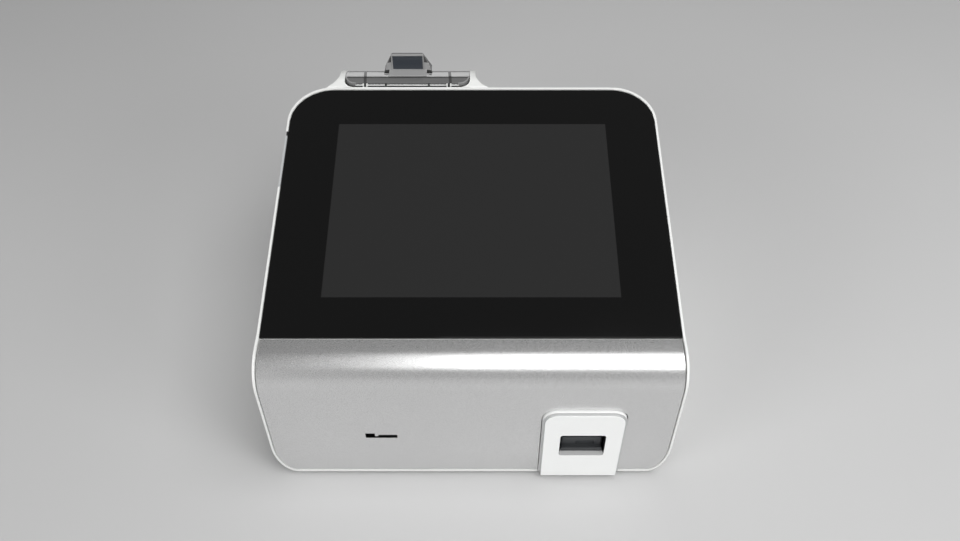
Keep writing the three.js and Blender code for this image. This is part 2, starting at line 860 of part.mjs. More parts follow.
// Base tray: a rim under the walls, a raised floor inside them, and bosses for what stands on it
const floorTop = body.bottom + tray.floor;
const deckZ = floorTop + deck.height - SHEET;
const deckPostRows = [deck.front + deck.bossInset, deckRear - deck.bossInset];
const deckPosts = [-1, 1].flatMap((side) => deckPostRows.map((y) => {
  const narrow = y < deck.narrowTo;
  return [side * ((narrow ? carriage.wingHalf : deck.halfWidth) - deck.bossInset), y];
}));
const boardPosts = [boardLeft + board.boss * 2, boardRight - board.boss * 2].flatMap((x) => (
  [board.front + board.boss * 2, boardRear - board.boss * 6].map((y) => [x, y])
));
function baseTray() {
  const rim = common(
    outerForm,
    block([-spare.far, spare.far], [-spare.far, spare.far], [0, body.bottom + tray.rim]),
  );
  const inside = trayHalf - GAP;
  const floor = common(
    block([-inside, inside], [fascia.thickness + GAP, bodyDepth - WALL - GAP], [body.bottom, floorTop]),
    acrossZ(planOutline(WALL + GAP), 0, spare.far),
  );
  const deckBosses = deckPosts.map(([x, y]) => cut(
    cylinder('z', [x + bezelX, y], tray.boss, floorTop - SHEET, deckZ - GAP, 16),
    cylinder('z', [x + bezelX, y], screw.shank + GAP, floorTop, deckZ + OVERRUN, 12),
  ));
  const boardBosses = boardPosts.map(([x, y]) => (
    cylinder('z', [x, y], tray.boss, floorTop - SHEET, floorTop + board.boss - GAP, 16)
  ));
  const bezelNotch = block(
    [bezelX - bezelOuter - SEAM, bezelX + bezelOuter + SEAM],
    [-spare.far, bezel.inside + GAP],
    [0, spare.far],
  );
  const holes = bothSides((side, y) => join(
    cylinder('z', [side * screwX, y], screw.shank + GAP, 0, spare.far, 16),
    cylinder('z', [side * screwX, y], screw.head + GAP, 0, body.bottom + screw.headHeight + GAP, 16),
  ));
  const vents = Array.from({ length: tray.ventCount }, (_, i) => {
    const x = (i - (tray.ventCount - 1) / 2) * tray.ventPitch;
    const y = (board.front + boardRear) / 2;
    return block([x, x + tray.vent], [y, y + tray.ventLength], [0, spare.far]);
  });
  return cut(join(rim, floor, ...deckBosses, ...boardBosses), bezelNotch, ...holes, ...vents);
}
piece(reader, 'base_tray', baseTray(), looks.white);

// Rubber feet and the screws that come up through the tray into the housing's posts
const footForm = cylinder('z', [0, 0], foot.radius, 0, body.bottom - GAP, 28);
const screwForm = cut(
  join(
    cylinder('z', [0, 0], screw.head, 0, screw.headHeight, 14),
    cylinder('z', [0, 0], screw.shank, 0, screw.length, 10),
  ),
  cylinder('z', [0, 0], screw.shank, -OVERRUN, screw.headHeight / 2, 6),
);
const corners = [['left', -1], ['right', 1]].flatMap(([side, sign]) => (
  ['front', 'rear'].map((end) => ({ name: `${end}_${side}`, sign, end }))
));
for (const { name, sign, end } of corners) {
  const footX = sign * (body.halfWidth - foot.inset);
  const footY = end === 'front' ? foot.front : bodyDepth - foot.rear;
  const screwY = screwRows[end === 'front' ? 0 : 1];
  piece(reader, `foot_${name}`, footForm, looks.rubber, [footX, footY, 0]);
  piece(reader, `base_screw_${name}`, screwForm, looks.steel, [sign * screwX, screwY, body.bottom + GAP]);
}

// Gear and rack outlines: straight-sided teeth, thinned for backlash
const toothShares = { root: 1.25, rootWidth: 1.4, tipWidth: 0.55 };
function gearOutline(teeth, module, phase = 0) {
  const pitchRadius = (teeth * module) / 2;
  const half = (Math.PI / (2 * teeth)) * gear.backlashShare;
  const root = pitchRadius - toothShares.root * module;
  const tip = pitchRadius + module;
  const corner = (radius, angle) => [radius * Math.cos(angle), radius * Math.sin(angle)];
  return Array.from({ length: teeth }, (_, i) => {
    const middle = phase + (2 * Math.PI * i) / teeth;
    return [
      corner(root, middle - half * toothShares.rootWidth),
      corner(tip, middle - half * toothShares.tipWidth),
      corner(tip, middle + half * toothShares.tipWidth),
      corner(root, middle + half * toothShares.rootWidth),
    ];
  }).flat();
}

// Cassette carriage: a tray with a pocket and a front lip, wings on two rods and a rack below
const carriageBottom = bezel.mouthBottom + GAP * 2 + (1 + toothShares.root) * gear.module;
const rackPitchZ = carriageBottom - toothShares.root * gear.module;
const pinionRadius = (gear.teeth * gear.module) / 2;
const pinionZ = rackPitchZ - pinionRadius - GAP / 2;
const rodZ = carriageBottom + carriage.wingHeight / 2;
const carriageRear = carriage.front + carriage.length;
function rack() {
  const pitch = Math.PI * gear.module;
  const half = (pitch / 4) * gear.backlashShare;
  const from = pinion.y - pinionRadius - gear.module - carriage.rackMargin;
  const to = pinion.y + carriage.travel + pinionRadius + gear.module;
  const before = Math.ceil((pinion.y - from) / pitch);
  const count = before + Math.floor((to - pinion.y) / pitch);
  const teeth = Array.from({ length: count }, (_, i) => {
    const middle = pinion.y + (i - before + 0.5) * pitch;
    return [
      [middle - half * toothShares.rootWidth, carriageBottom],
      [middle - half * toothShares.tipWidth, rackPitchZ - gear.module],
      [middle + half * toothShares.tipWidth, rackPitchZ - gear.module],
      [middle + half * toothShares.rootWidth, carriageBottom],
    ];
  }).flat();
  const start = teeth[0][0] - gear.module;
  const end = teeth.at(-1)[0] + gear.module;
  const root = carriageBottom + gear.module;
  const points = [[start, carriageBottom], ...teeth, [end, carriageBottom], [end, root], [start, root]];
  return acrossX(points, carriage.rackX - gear.width / 2, carriage.rackX + gear.width / 2);
}
function cassetteCarriage() {
  const top = carriageBottom + carriage.height;
  const bodyShape = rectangle(-carriage.halfWidth, carriage.halfWidth, carriage.front, carriageRear, SHEET);
  const wings = block(
    [-carriage.wingHalf, carriage.wingHalf],
    [carriage.wingStart, carriageRear],
    [carriageBottom, carriageBottom + carriage.wingHeight],
  );
  const pocketFrom = carriage.front + carriage.pocketStart;
  const pocket = acrossZ(
    rectangle(
      -carriage.pocketHalf,
      carriage.pocketHalf,
      pocketFrom,
      pocketFrom + carriage.pocketLength,
      SHEET,
    ),
    top - carriage.pocketDepth,
    top + OVERRUN,
  );
  const lip = acrossY(
    rectangle(
      -carriage.halfWidth,
      carriage.halfWidth,
      bezel.mouthBottom + GAP,
      carriageBottom + carriage.lipRise,
      carriage.lipCorner,
    ),
    carriage.front - carriage.lip,
    carriage.front + carriage.lip,
  );
  const face = block(
    [carriage.faceX - carriage.faceHalf, carriage.faceX + carriage.faceHalf],
    [carriage.front - carriage.lip, carriage.front + carriage.faceDepth],
    [carriageBottom + carriage.faceLow, carriageBottom + carriage.faceHigh],
  );
  const flag = block(
    [carriage.flagX - carriage.flagThickness / 2, carriage.flagX + carriage.flagThickness / 2],
    [carriageRear - OVERRUN, carriageRear + carriage.flagLength],
    [carriageBottom, carriageBottom + carriage.wingHeight],
  );
  const bores = [-1, 1].map((side) => (
    cylinder('y', [side * rod.across, rodZ], rod.radius + GAP, carriage.front, carriageRear + OVERRUN, 20)
  ));
  const bodySolid = acrossZ(bodyShape, carriageBottom, top);
  return cut(join(bodySolid, lip, wings, rack(), flag), pocket, face, ...bores);
}
function drivePinion() {
  const from = carriage.rackX - gear.width / 2;
  const wheel = acrossX(gearOutline(gear.teeth, gear.module, Math.PI / 2), from, from + gear.width);
  const hub = cylinder('x', [0, 0], gear.hub, from - gear.width / 2, from + GAP);
  const bore = cylinder(
    'x',
    [0, 0],
    gear.shaft + GAP / 2,
    from - gear.width / 2 - OVERRUN,
    from + gear.width + OVERRUN,
    16,
  );
  return cut(wheel.add(hub), bore);
}

// Stamped deck with upturned ends for the rods and a tab for the motor
const deckTop = deckZ + SHEET;
const tabX = -carriage.wingHalf;
function transportDeck() {
  const narrow = carriage.wingHalf;
  const plate = join(
    block([-deck.halfWidth, deck.halfWidth], [deck.narrowTo, deckRear], [deckZ, deckTop]),
    block([-narrow, narrow], [deck.front, deck.narrowTo], [deckZ, deckTop]),
  );
  const endTop = rodZ + rod.radius * 2;
  const ends = [deck.front, deckRear - SHEET].map((y) => (
    block([-narrow, narrow], [y, y + SHEET], [deckZ, endTop])
  ));
  const passage = block(
    [-carriage.halfWidth - GAP * 2, carriage.halfWidth + GAP * 2],
    [deck.front - OVERRUN, deckRear + OVERRUN],
    [rackPitchZ - gear.module - GAP * 2, endTop + OVERRUN],
  );
  const tab = block(
    [tabX, tabX + SHEET],
    [pinion.y - deck.tabMargin, pinion.y + deck.tabMargin],
    [deckZ, deckZ + deck.tabTop],
  );
  const reach = pinionRadius + gear.module + GAP * 2;
  const slot = block(
    [carriage.rackX - gear.width - GAP, carriage.rackX + gear.width],
    [pinion.y - reach, pinion.y + reach],
    [0, deckTop + OVERRUN],
  );
  const shaftHole = cylinder(
    'x',
    [pinion.y, pinionZ],
    motor.nose + GAP,
    tabX - OVERRUN,
    tabX + SHEET + OVERRUN,
  );
  const rodHoles = [-1, 1].map((side) => (
    cylinder(
      'y',
      [side * rod.across, rodZ],
      rod.radius + GAP / 2,
      deck.front - OVERRUN,
      deckRear + OVERRUN,
      20,
    )
  ));
  const screwHoles = deckPosts.map(([x, y]) => cylinder(
    'z',
    [x, y],
    screw.shank + GAP,
    deckZ - OVERRUN,
    deckTop + OVERRUN,
    12,
  ));
  return cut(join(plate, ...ends, tab), passage, slot, shaftHole, ...rodHoles, ...screwHoles);
}
function transportMotor() {
  const face = tabX - GAP;
  return join(
    cylinder('x', [pinion.y, pinionZ], motor.radius, face - motor.length, face, 28),
    cylinder('x', [pinion.y, pinionZ], motor.nose, face - OVERRUN, face + motor.noseLength, 20),
    cylinder('x', [pinion.y, pinionZ], gear.shaft, face, carriage.rackX + gear.width / 2, 16),
  );
}

// Optics: a bridge over the carriage with the reading head and its lens
const bridgeRear = bridge.front + bridge.length;
const opticsY = (bridge.front + bridgeRear) / 2;
function opticsBridge() {
  const top = bridge.height;
  const inner = bridge.halfWidth - SHEET;
  const outside = block(
    [-bridge.halfWidth, bridge.halfWidth],
    [bridge.front, bridgeRear],
    [deckTop + GAP, top],
  );
  const inside = block([-inner, inner], [bridge.front - OVERRUN, bridgeRear + OVERRUN], [0, top - SHEET]);
  return cut(outside, inside, cylinder('z', [0, opticsY], bridge.window, 0, top + OVERRUN, 28));
}
function opticsHead() {
  const low = bridge.height + GAP;
  const shape = rectangle(
    -optics.halfWidth,
    optics.halfWidth,
    bridge.front + optics.inset,
    bridgeRear - optics.inset,
    WALL,
  );
  const bore = cylinder(
    'z',
    [0, opticsY],
    optics.lens + GAP,
    low - OVERRUN,
    low + optics.flangeHeight + optics.boreDepth,
  );
  const seat = cylinder('z', [0, opticsY], optics.flange + GAP, low - OVERRUN, low + optics.flangeHeight);
  return cut(acrossZ(shape, low, low + optics.height), bore, seat);
}
function opticsLens() {
  const top = bridge.height + optics.flangeHeight;
  return cut(
    join(
      cylinder('z', [0, opticsY], optics.lens, top - optics.lensLength, top, 28),
      cylinder('z', [0, opticsY], optics.flange, bridge.height + GAP, top, 28),
    ),
    cylinder(
      'z',
      [0, opticsY],
      optics.bore,
      top - optics.lensLength - OVERRUN,
      top - optics.lensLength + optics.boreDepth,
    ),
  );
}
function homeSensor() {
  const from = carriageRear + GAP * 2;
  const slot = carriage.flagThickness / 2 + GAP * 2;
  const top = carriageBottom + carriage.wingHeight + GAP;
  return cut(
    block(
      [carriage.flagX - sensor.halfWidth, carriage.flagX + sensor.halfWidth],
      [from, from + sensor.length],
      [deckTop + GAP, top],
    ),
    block(
      [carriage.flagX - slot, carriage.flagX + slot],
      [from - OVERRUN, from + sensor.length + OVERRUN],
      [top - sensor.slotDepth, top + OVERRUN],
    ),
  );
}
piece(transport, 'cassette_carriage', cassetteCarriage(), looks.dark);
piece(transport, 'drive_pinion', drivePinion(), looks.nylon, [0, pinion.y, pinionZ]);
piece(transport, 'transport_deck', transportDeck(), looks.zinc);
piece(transport, 'transport_motor', transportMotor(), looks.steel);
for (const [side, sign] of [['left', -1], ['right', 1]]) {
  const guide = cylinder('y', [0, 0], rod.radius, 0, deckRear + deck.front - 2 * rod.start, 20);
  piece(transport, `guide_rod_${side}`, guide, looks.steel, [sign * rod.across, rod.start, rodZ]);
}
deckPosts.forEach(([x, y], i) => piece(
  transport,
  `deck_screw_${i + 1}`,
  screwForm.mirror([0, 0, 1]),
  looks.steel,
  [x, y, deckTop + GAP + screw.headHeight],
));
piece(transport, 'optics_bridge', opticsBridge(), looks.zinc);
piece(transport, 'optics_head', opticsHead(), looks.black);
piece(transport, 'optics_lens', opticsLens(), looks.lens);
piece(transport, 'home_sensor', homeSensor(), looks.black);

// Main board with its larger chips, and the sockets along its rear edge
function mainBoard() {
  const low = floorTop + board.boss;
  const middle = (boardLeft + boardRight) / 2;
  const chips = [0, 1, 2].map((i) => block(
    [middle + (i - 1) * board.chip * 2, middle + (i - 1) * board.chip * 2 + board.chip],
    [board.front + board.chip * (2 + i), board.front + board.chip * (3 + i)],
    [low, boardTop + board.chipHeight],
  ));
  return join(block([boardLeft, boardRight], [board.front, boardRear], [low, boardTop]), ...chips);
}
function lanPort() {
  const middle = lanLeft + lan.width / 2;
  const centre = portBottom + lan.height / 2;
  return cut(
    block(
      [lanLeft, lanLeft + lan.width],
      [bodyDepth - lan.depth, bodyDepth],
      [portBottom, portBottom + lan.height],
    ),
    block(
      [middle - lan.cavity / 2, middle + lan.cavity / 2],
      [bodyDepth - lan.cavityDepth, bodyDepth + OVERRUN],
      [centre - lan.cavityHeight / 2, centre + lan.cavityHeight / 2],
    ),
  );
}
function usbPorts() {
  const middle = usbLeft + usb.width / 2;
  const slots = [1, 3].map((quarter) => {
    const z = portBottom + (usb.height * quarter) / 4;
    const cavity = block(
      [middle - usb.slotWidth / 2, middle + usb.slotWidth / 2],
      [bodyDepth - usb.slotDepth, bodyDepth + OVERRUN],
      [z - usb.slotHeight / 2, z + usb.slotHeight / 2],
    );
    const tongue = block(
      [middle - usb.slotWidth / 2 + usb.tongue, middle + usb.slotWidth / 2 - usb.tongue],
      [bodyDepth - usb.slotDepth - OVERRUN, bodyDepth - usb.tongue],
      [z, z + usb.tongue],
    );
    return cavity.subtract(tongue);
  });
  return cut(
    block(
      [usbLeft, usbLeft + usb.width],
      [bodyDepth - usb.depth, bodyDepth],
      [portBottom, portBottom + usb.height],
    ),
    ...slots,
  );
}
function serialPort() {
  const middle = serialLeft + serial.width / 2;
  const centre = portBottom + serial.height / 2;
  const half = serial.shellWidth / 2;
  const inner = serial.shell / 2;
  const shell = (grow) => outline([
    [middle - half - grow, centre + inner + grow, SHEET],
    [middle - half + SHEET - grow, centre - inner - grow, SHEET],
    [middle + half - SHEET + grow, centre - inner - grow, SHEET],
    [middle + half + grow, centre + inner + grow, SHEET],
  ]);
  const flange = block(
    [serialLeft, serialLeft + serial.width],
    [bodyDepth - WALL, bodyDepth],
    [portBottom, portBottom + serial.height],
  );
  const bodySolid = block(
    [middle - half - SHEET, middle + half + SHEET],
    [bodyDepth - serial.depth, bodyDepth],
    [portBottom, portBottom + serial.height],
  );
  const front = bodyDepth + serial.proud;
  return cut(
    join(flange, bodySolid, acrossY(shell(0), bodyDepth - SHEET, front)),
    acrossY(shell(-GAP * 2), bodyDepth, front + OVERRUN),
  );
}
function dcJack() {
  const { z, half } = power;
  const x = jackX;
  return join(
    cut(
      block([x - half, x + half], [bodyDepth - power.depth, bodyDepth], [z - half, z + half]),
      cylinder('y', [x, z], power.bore, bodyDepth - power.boreDepth, bodyDepth + OVERRUN),
    ),
    cylinder('y', [x, z], power.pin, bodyDepth - power.boreDepth - OVERRUN, bodyDepth - GAP, 12),
  );
}
// Power switch: a snapped-in body and a rocker that tilts in it about a sideways axis
const rockerY = bodyDepth + toggle.flangeThickness - toggle.pivotDepth;
function switchBody() {
  const { z, halfWidth, halfHeight, flange, rocker } = toggle;
  const x = switchX;
  const from = bodyDepth + GAP;
  const face = from + toggle.flangeThickness;
  const rim = rectangle(
    x - halfWidth - flange,
    x + halfWidth + flange,
    z - halfHeight - flange,
    z + halfHeight + flange,
    flange,
  );
  const well = block(
    [x - halfWidth + rocker, x + halfWidth - rocker],
    [face - toggle.flangeThickness - WALL * 2, face + OVERRUN],
    [z - halfHeight + rocker, z + halfHeight - rocker],
  );
  const core = block(
    [x - halfWidth, x + halfWidth],
    [bodyDepth - toggle.depth, face],
    [z - halfHeight, z + halfHeight],
  );
  return cut(join(core, acrossY(rim, from, face)), well);
}
function powerRocker() {
  const halfWidth = toggle.halfWidth - toggle.rocker - GAP;
  const halfHeight = toggle.halfHeight - toggle.rocker - 2 * SEAM;
  const rise = halfHeight * Math.tan(THREE.MathUtils.degToRad(toggle.tiltDegrees));
  const front = toggle.pivotDepth;
  const shape = outline([
    [-toggle.pivotDepth, -halfHeight / 2, SHEET],
    [front - rise, -halfHeight, GAP],
    [front, -GAP],
    [front, GAP],
    [front + rise, halfHeight, GAP],
    [-toggle.pivotDepth, halfHeight / 2, SHEET],
  ]);
  return acrossX(shape, -halfWidth, halfWidth);
}
function sideUsbPort() {
  const { y, halfLength, bottom, height, depth, tongue } = sidePort;
  const face = door.thickness + GAP - body.halfWidth;
  const middle = bottom + height / 2;
  const cavity = block(
    [face - OVERRUN, face + depth - WALL],
    [y - halfLength + SHEET / 2, y + halfLength - SHEET / 2],
    [bottom + SHEET / 2, bottom + height - SHEET / 2],
  );
  const blade = block(
    [face + tongue, face + depth],
    [y - halfLength + WALL, y + halfLength - WALL],
    [middle, middle + tongue],
  );
  const shell = block([face, face + depth], [y - halfLength, y + halfLength], [bottom, bottom + height]);
  return cut(shell, cavity.subtract(blade));
}
function idCardSocket() {
  const from = fascia.thickness + GAP;
  const wall = card.socketWall;
  const shell = block(
    [cardLeft - wall, cardRight + wall],
    [from, from + card.socketDepth],
    [card.bottom - wall, card.bottom + card.tall + wall],
  );
  return cut(shell, acrossY(cardSlot(GAP), from - OVERRUN, from + card.slotDepth));
}
piece(reader, 'main_board', mainBoard(), looks.board);
piece(reader, 'lan_port', lanPort(), looks.steel);
piece(reader, 'usb_ports', usbPorts(), looks.steel);
piece(reader, 'serial_port', serialPort(), looks.steel);
piece(reader, 'dc_jack', dcJack(), looks.black);
piece(reader, 'switch_body', switchBody(), looks.black);
piece(reader, 'power_rocker', powerRocker(), looks.dark, [switchX, rockerY, toggle.z]);
piece(reader, 'side_usb_port', sideUsbPort(), looks.steel);
piece(reader, 'id_card_socket', idCardSocket(), looks.dark);

// Printer lid: a shell over the pod with a hinge barrel behind, a crease, ribs and ears for the platen
const lidRadius = pod.radius - lid.sink;
const hingeY = pod.centreY + lidRadius - lid.hingeRadius;
const lidHalf = bayHalf - SEAM;
function lidSkin(inset) {
  const radius = lidRadius - inset;
  const crestShare = (lid.creaseY + lid.creaseWidth - pod.centreY) / lidRadius;
  const crest = THREE.MathUtils.radToDeg(Math.acos(crestShare));
  return [
    [lid.front, lid.frontTop - inset],
    [lid.creaseY, pod.centreZ + lidRadius - inset],
    ...arcPoints([pod.centreY, pod.centreZ], radius, crest, 0),
    [pod.centreY + radius, lid.hingeZ],
  ];
}
function printerLid() {
  const outer = lidSkin(0);
  const inner = lidSkin(lid.thickness).reverse();
  const skin = acrossX([...outer, ...inner], -lidHalf, lidHalf);
  const crease = block(
    [-lidHalf - OVERRUN, lidHalf + OVERRUN],
    [lid.creaseY, lid.creaseY + lid.creaseWidth],
    [pod.centreZ + lidRadius - lid.creaseDepth, spare.far],
  );
  const barrel = cylinder('x', [hingeY, lid.hingeZ], lid.hingeRadius, -lidHalf, lidHalf);
  const pinBore = cylinder(
    'x',
    [hingeY, lid.hingeZ],
    lid.pin + GAP,
    -lidHalf - OVERRUN,
    lidHalf + OVERRUN,
    16,
  );
  const notch = block(
    [-latch.baseHalf - SEAM, latch.baseHalf + SEAM],
    [latch.y - latch.notchAhead, latch.y + latch.notchBehind],
    [latch.z + latch.neck / 2, spare.far],
  );
  const within = acrossX(lidSkin(lid.thickness / 2).concat([[lid.front, lid.hingeZ]]), -lidHalf, lidHalf);
  const ribFront = platen.y + platen.radius + GAP * 2;
  const ribs = [-1, 1].map((side) => common(
    within,
    cut(
      block(
        [side * lid.ribX - lid.rib / 2, side * lid.ribX + lid.rib / 2],
        [ribFront, rearMost],
        [latch.z, spare.far],
      ),
      acrossX(lidSkin(lid.thickness + lid.ribDepth).concat([[lid.front, lid.hingeZ]]), -lidHalf, lidHalf),
    ),
  ));
  const ears = [-1, 1].map((side) => {
    const from = side > 0 ? lid.earX : -lid.earX - lid.ear;
    const boss = platen.shaft * 2;
    const shape = outline([
      [platen.y - boss, pod.centreZ + lidRadius],
      [platen.y - boss, platen.z - boss, boss],
      [platen.y + boss, platen.z - boss, boss],
      [latch.y + boss, latch.z - boss, boss],
      [latch.y + boss, pod.centreZ + lidRadius],
    ]);
    return common(within, acrossX(shape, from, from + lid.ear));
  });
  const shafts = [
    cylinder('x', [platen.y, platen.z], platen.shaft + latch.clearance, -lidHalf, lidHalf),
    cylinder('x', [latch.y, latch.z], latch.shaft + latch.clearance, -lidHalf, lidHalf),
  ];
  return cut(join(skin, barrel, ...ribs, ...ears), crease, notch, pinBore, ...shafts);
}
piece(printer, 'printer_lid', printerLid(), looks.smoke);

// The lid's hinge pin and the toothed tear bar on its front edge
function tearBar() {
  const half = lidHalf - lid.thickness;
  const count = Math.floor((2 * half) / tear.teethPitch);
  const low = lid.frontTop - tear.height;
  const teeth = Array.from({ length: 2 * count + 1 }, (_, i) => [
    half - (i * half) / count,
    lid.frontTop - (i % 2) * tear.thickness,
  ]);
  const rear = lid.front - GAP;
  return acrossY([[-half, low], [half, low], ...teeth], rear - tear.thickness, rear);
}
piece(
  printer,
  'lid_hinge_pin',
  cylinder('x', [0, 0], lid.pin, ...pinSpan(0), 16),
  looks.steel,
  [0, hingeY, lid.hingeZ],
);
piece(printer, 'tear_bar', tearBar(), looks.steel);

// Release lever: a cross shaft in the lid's ears with the tab above it and two hooks below
function releaseLever() {
  const neckTop = pod.centreZ + lidRadius;
  const tab = outline([
    [-latch.baseHalf, latch.z],
    [latch.baseHalf, latch.z],
    [latch.baseHalf, neckTop],
    [latch.topHalf, latch.top, latch.blade],
    [-latch.topHalf, latch.top, latch.blade],
    [-latch.baseHalf, neckTop],
  ]);
  const blade = acrossY(tab, latch.y - latch.blade / 2, latch.y + latch.blade / 2);
  const gussetForm = [
    [latch.y, neckTop],
    [latch.y + latch.gusset, neckTop],
    [latch.y + latch.blade / 2, latch.top - latch.blade],
    [latch.y, latch.top - latch.blade],
  ];
  const slope = (latch.baseHalf - latch.topHalf) / (latch.top - neckTop);
  const gussets = common(
    acrossX(gussetForm, -latch.baseHalf, latch.baseHalf),
    acrossY(tab, latch.y - latch.gusset, latch.y + latch.gusset),
  ).subtract(acrossY([
    [latch.gussetWidth - latch.baseHalf, neckTop - OVERRUN],
    [latch.baseHalf - latch.gussetWidth, neckTop - OVERRUN],
    [latch.baseHalf - latch.gussetWidth - slope * (latch.top - neckTop), latch.top],
    [latch.gussetWidth - latch.baseHalf + slope * (latch.top - neckTop), latch.top],
  ], latch.y + latch.blade / 2 - GAP, latch.y + latch.gusset + OVERRUN));
  const shaft = cylinder('x', [latch.y, latch.z], latch.shaft, -lid.earX - lid.ear, lid.earX + lid.ear, 16);
  const low = latch.z - latch.hookDrop;
  const front = latch.y - latch.armHalf;
  const arm = outline([
    [front, latch.z + latch.armHalf, latch.armHalf],
    [front, low + latch.hookHeight],
    [front - latch.hookReach, low + latch.hookHeight],
    [front - latch.hookReach, low + latch.hookHeight / 2],
    [front, low],
    [latch.y + latch.armHalf, low],
    [latch.y + latch.armHalf, latch.z + latch.armHalf, latch.armHalf],
  ]);
  const arms = [-1, 1].map((side) => {
    const from = side > 0 ? latch.armX : -latch.armX - latch.arm;
    return acrossX(arm, from, from + latch.arm);
  });
  return join(blade, gussets, shaft, ...arms);
}
piece(printer, 'lid_release_lever', releaseLever(), looks.smoke);

// Platen roller in the lid and the gear train that meets it when the lid is shut
const way = new THREE.Vector2(platen.z - lid.hingeZ, hingeY - platen.y).normalize();
function fromPlaten(back, up) {
  return [platen.y - back * way.x - up * way.y, platen.z - back * way.y + up * way.x];
}
function centreDistance(teethA, teethB) {
  return ((teethA + teethB) / 2) * train.module + train.slack;
}
const idlerCentre = fromPlaten(centreDistance(train.platenTeeth, train.idlerTeeth), 0);
const pinionDrop = THREE.MathUtils.degToRad(train.pinionDropDegrees);
const pinionReach = centreDistance(train.idlerTeeth, train.pinionTeeth);
const pinionCentre = [
  idlerCentre[0] - pinionReach * Math.cos(pinionDrop),
  idlerCentre[1] - pinionReach * Math.sin(pinionDrop),
];
// The phase that puts a gap of the driven gear opposite a tooth of its driver
function meshPhase(phase, teethFrom, teethTo, angle) {
  return angle + Math.PI + Math.PI / teethTo - ((phase - angle) * teethFrom) / teethTo;
}
const toPlaten = Math.atan2(platen.z - idlerCentre[1], platen.y - idlerCentre[0]);
const toPinion = Math.atan2(pinionCentre[1] - idlerCentre[1], pinionCentre[0] - idlerCentre[0]);
const platenPhase = meshPhase(toPlaten, train.idlerTeeth, train.platenTeeth, toPlaten);
const pinionPhase = meshPhase(toPlaten, train.idlerTeeth, train.pinionTeeth, toPinion);
function trainGear(teeth, phase, bore) {
  const wheel = acrossX(gearOutline(teeth, train.module, phase), 0, platen.gearWidth);
  return wheel.subtract(cylinder('x', [0, 0], bore, -OVERRUN, platen.gearWidth + OVERRUN, 16));
}
const earEnd = lid.earX + lid.ear;
const platenRubber = ring(
  'x',
  [0, 0],
  platen.radius,
  platen.shaft + GAP,
  -platen.halfWidth,
  platen.halfWidth,
  32,
);
piece(printer, 'platen_roller', platenRubber, looks.rubber, [0, platen.y, platen.z]);
piece(
  printer,
  'platen_shaft',
  cylinder('x', [0, 0], platen.shaft, -earEnd, earEnd),
  looks.steel,
  [0, platen.y, platen.z],
);
piece(
  printer,
  'platen_gear',
  trainGear(train.platenTeeth, platenPhase, platen.shaft + GAP),
  looks.nylon,
  [platen.gearX, platen.y, platen.z],
);
piece(
  printer,
  'idler_gear',
  trainGear(train.idlerTeeth, toPlaten, head.stub + GAP),
  looks.nylon,
  [platen.gearX, ...idlerCentre],
);
piece(
  printer,
  'motor_pinion',
  trainGear(train.pinionTeeth, pinionPhase, printerMotor.shaft + GAP / 2),
  looks.brass,
  [platen.gearX, ...pinionCentre],
);

// Paper roll on its card core
const coreRing = ring('x', [0, 0], paper.core, paper.bore, -paper.halfWidth, paper.halfWidth, 28);
const rollRing = ring('x', [0, 0], paper.radius, paper.core + GAP, -paper.halfWidth, paper.halfWidth, 40);
piece(printer, 'paper_roll', rollRing, looks.paper, [0, paper.y, paper.z]);
piece(printer, 'paper_core', coreRing, looks.card, [0, paper.y, paper.z]);

